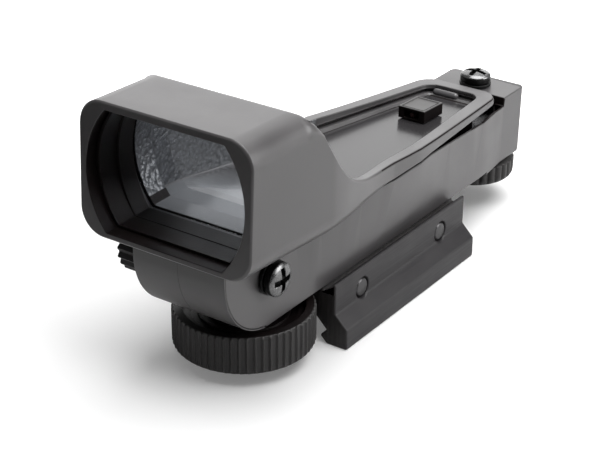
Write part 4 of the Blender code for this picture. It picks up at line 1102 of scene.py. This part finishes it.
# Power dial: a black moulded wheel on the far side plate that switches the dot on and sets
# its brightness, with coarse finger ribs. A sheet brass wiper turns with it inside.
dial_rim = [(u + dial_at[0], v + dial_at[1]) for u, v in ribbed_rim(5.3, 0.55, 18, 0.55)]
dial = placed("power_dial_wheel", pushed(dial_rim, "X", -17.0, -10.6))
carve(dial, rod("X", dial_at, 2.0, -10.9, -7.6), "UNION")
carve(dial, rod("X", dial_at, 3.8, -18, -16.4, 64))
settle(dial, 0.18, 35)
coat(dial, knob_plastic)
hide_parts("power_dial")
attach(dial, "switch")
dress("dial_wiper", brass_strip)


# Studio: a white table that ends in front of the finder, with a big white panel behind it, a
# soft light above and one at the right. Nothing lights it from the camera's side.
def studio_white():
    """A white table top that the camera sees fade to pure white away from the finder."""
    material, tree, shader, place = finish_material("studio_white", (0.88, 0.88, 0.88), 0.9)
    mottle(tree, shader, speckle(tree, place, 60.0), (0.87, 0.87, 0.87), (0.89, 0.89, 0.89))
    ray = tree.nodes.new("ShaderNodeLightPath")
    lift = tree.nodes.new("ShaderNodeMath")
    lift.operation = "MULTIPLY"
    away = tree.nodes.new("ShaderNodeVectorMath")
    away.operation = "LENGTH"
    tree.links.new(place, away.inputs[0])
    fade = tree.nodes.new("ShaderNodeMapRange")
    fade.interpolation_type = "SMOOTHSTEP"
    fade.inputs["From Min"].default_value = 60.0 * MM
    fade.inputs["From Max"].default_value = 150.0 * MM
    fade.inputs["To Min"].default_value = 0.15
    fade.inputs["To Max"].default_value = 1.0
    tree.links.new(away.outputs["Value"], fade.inputs["Value"])
    tree.links.new(ray.outputs["Is Camera Ray"], lift.inputs[0])
    tree.links.new(fade.outputs["Result"], lift.inputs[1])
    shader.inputs["Emission Color"].default_value = (1, 1, 1, 1)
    tree.links.new(lift.outputs["Value"], shader.inputs["Emission Strength"])
    return material


table = [(-900, 1200), (-900, -108), (-60, -110), (-30, -125), (0, -128), (900, -128), (900, 1200)]
floor = placed("studio_floor", pushed(table, "Z", jaw_bottom - 1.0, jaw_bottom - 0.02))
coat(floor, studio_white())

world = bpy.data.worlds.new("studio")
bpy.context.scene.world = world
world.use_nodes = True
sky = world.node_tree
sky_light = sky.nodes["Background"]
sky_light.inputs["Color"].default_value = (1, 1, 1, 1)
sky_light.inputs["Strength"].default_value = 0.14
backdrop = sky.nodes.new("ShaderNodeBackground")
backdrop.inputs["Color"].default_value = (1, 1, 1, 1)
ray = sky.nodes.new("ShaderNodeLightPath")
choice = sky.nodes.new("ShaderNodeMixShader")
sky.links.new(ray.outputs["Is Camera Ray"], choice.inputs["Fac"])
sky.links.new(sky_light.outputs["Background"], choice.inputs[1])
sky.links.new(backdrop.outputs["Background"], choice.inputs[2])
sky.links.new(choice.outputs["Shader"], sky.nodes["World Output"].inputs["Surface"])


def soft_light(name, at, size, power):
    """A square area light in metres and watts, aimed at the finder."""
    lamp = bpy.data.lights.new(name, "AREA")
    lamp.shape = "SQUARE"
    lamp.size = size
    lamp.energy = power
    light = bpy.data.objects.new(name, lamp)
    light.location = at
    aim = Vector((0, 0, 0.02)) - Vector(at)
    light.rotation_euler = aim.to_track_quat("-Z", "Y").to_euler()
    bpy.context.scene.collection.objects.link(light)


soft_light("overhead", (0.15, 0.05, 0.75), 0.8, 15.5)
soft_light("rear_panel", (-0.5, 0.8, 0.5), 1.1, 8.0)
soft_light("right_side", (0.75, 0.35, 0.35), 0.5, 7.5)

azimuth = math.radians(34.69)
elevation = math.radians(26.90)
roll = math.radians(0.42)
back = Vector((math.sin(azimuth) * math.cos(elevation),
               -math.cos(azimuth) * math.cos(elevation), math.sin(elevation)))
level = Vector((math.cos(azimuth), math.sin(azimuth), 0))
upright = back.cross(level)
right = level * math.cos(roll) + upright * math.sin(roll)
upright = back.cross(right)
view = bpy.data.cameras.new("view")
view.sensor_width = 36.0
view.lens = 36.0 * 1693.86 / 599
camera = bpy.data.objects.new("view", view)
camera.matrix_world = Matrix((right, upright, back)).transposed().to_4x4()
camera.location = Vector((167.9, -260.75, 162.3)) * MM
bpy.context.scene.collection.objects.link(camera)
bpy.context.scene.camera = camera
bpy.context.scene.view_settings.view_transform = "Standard"
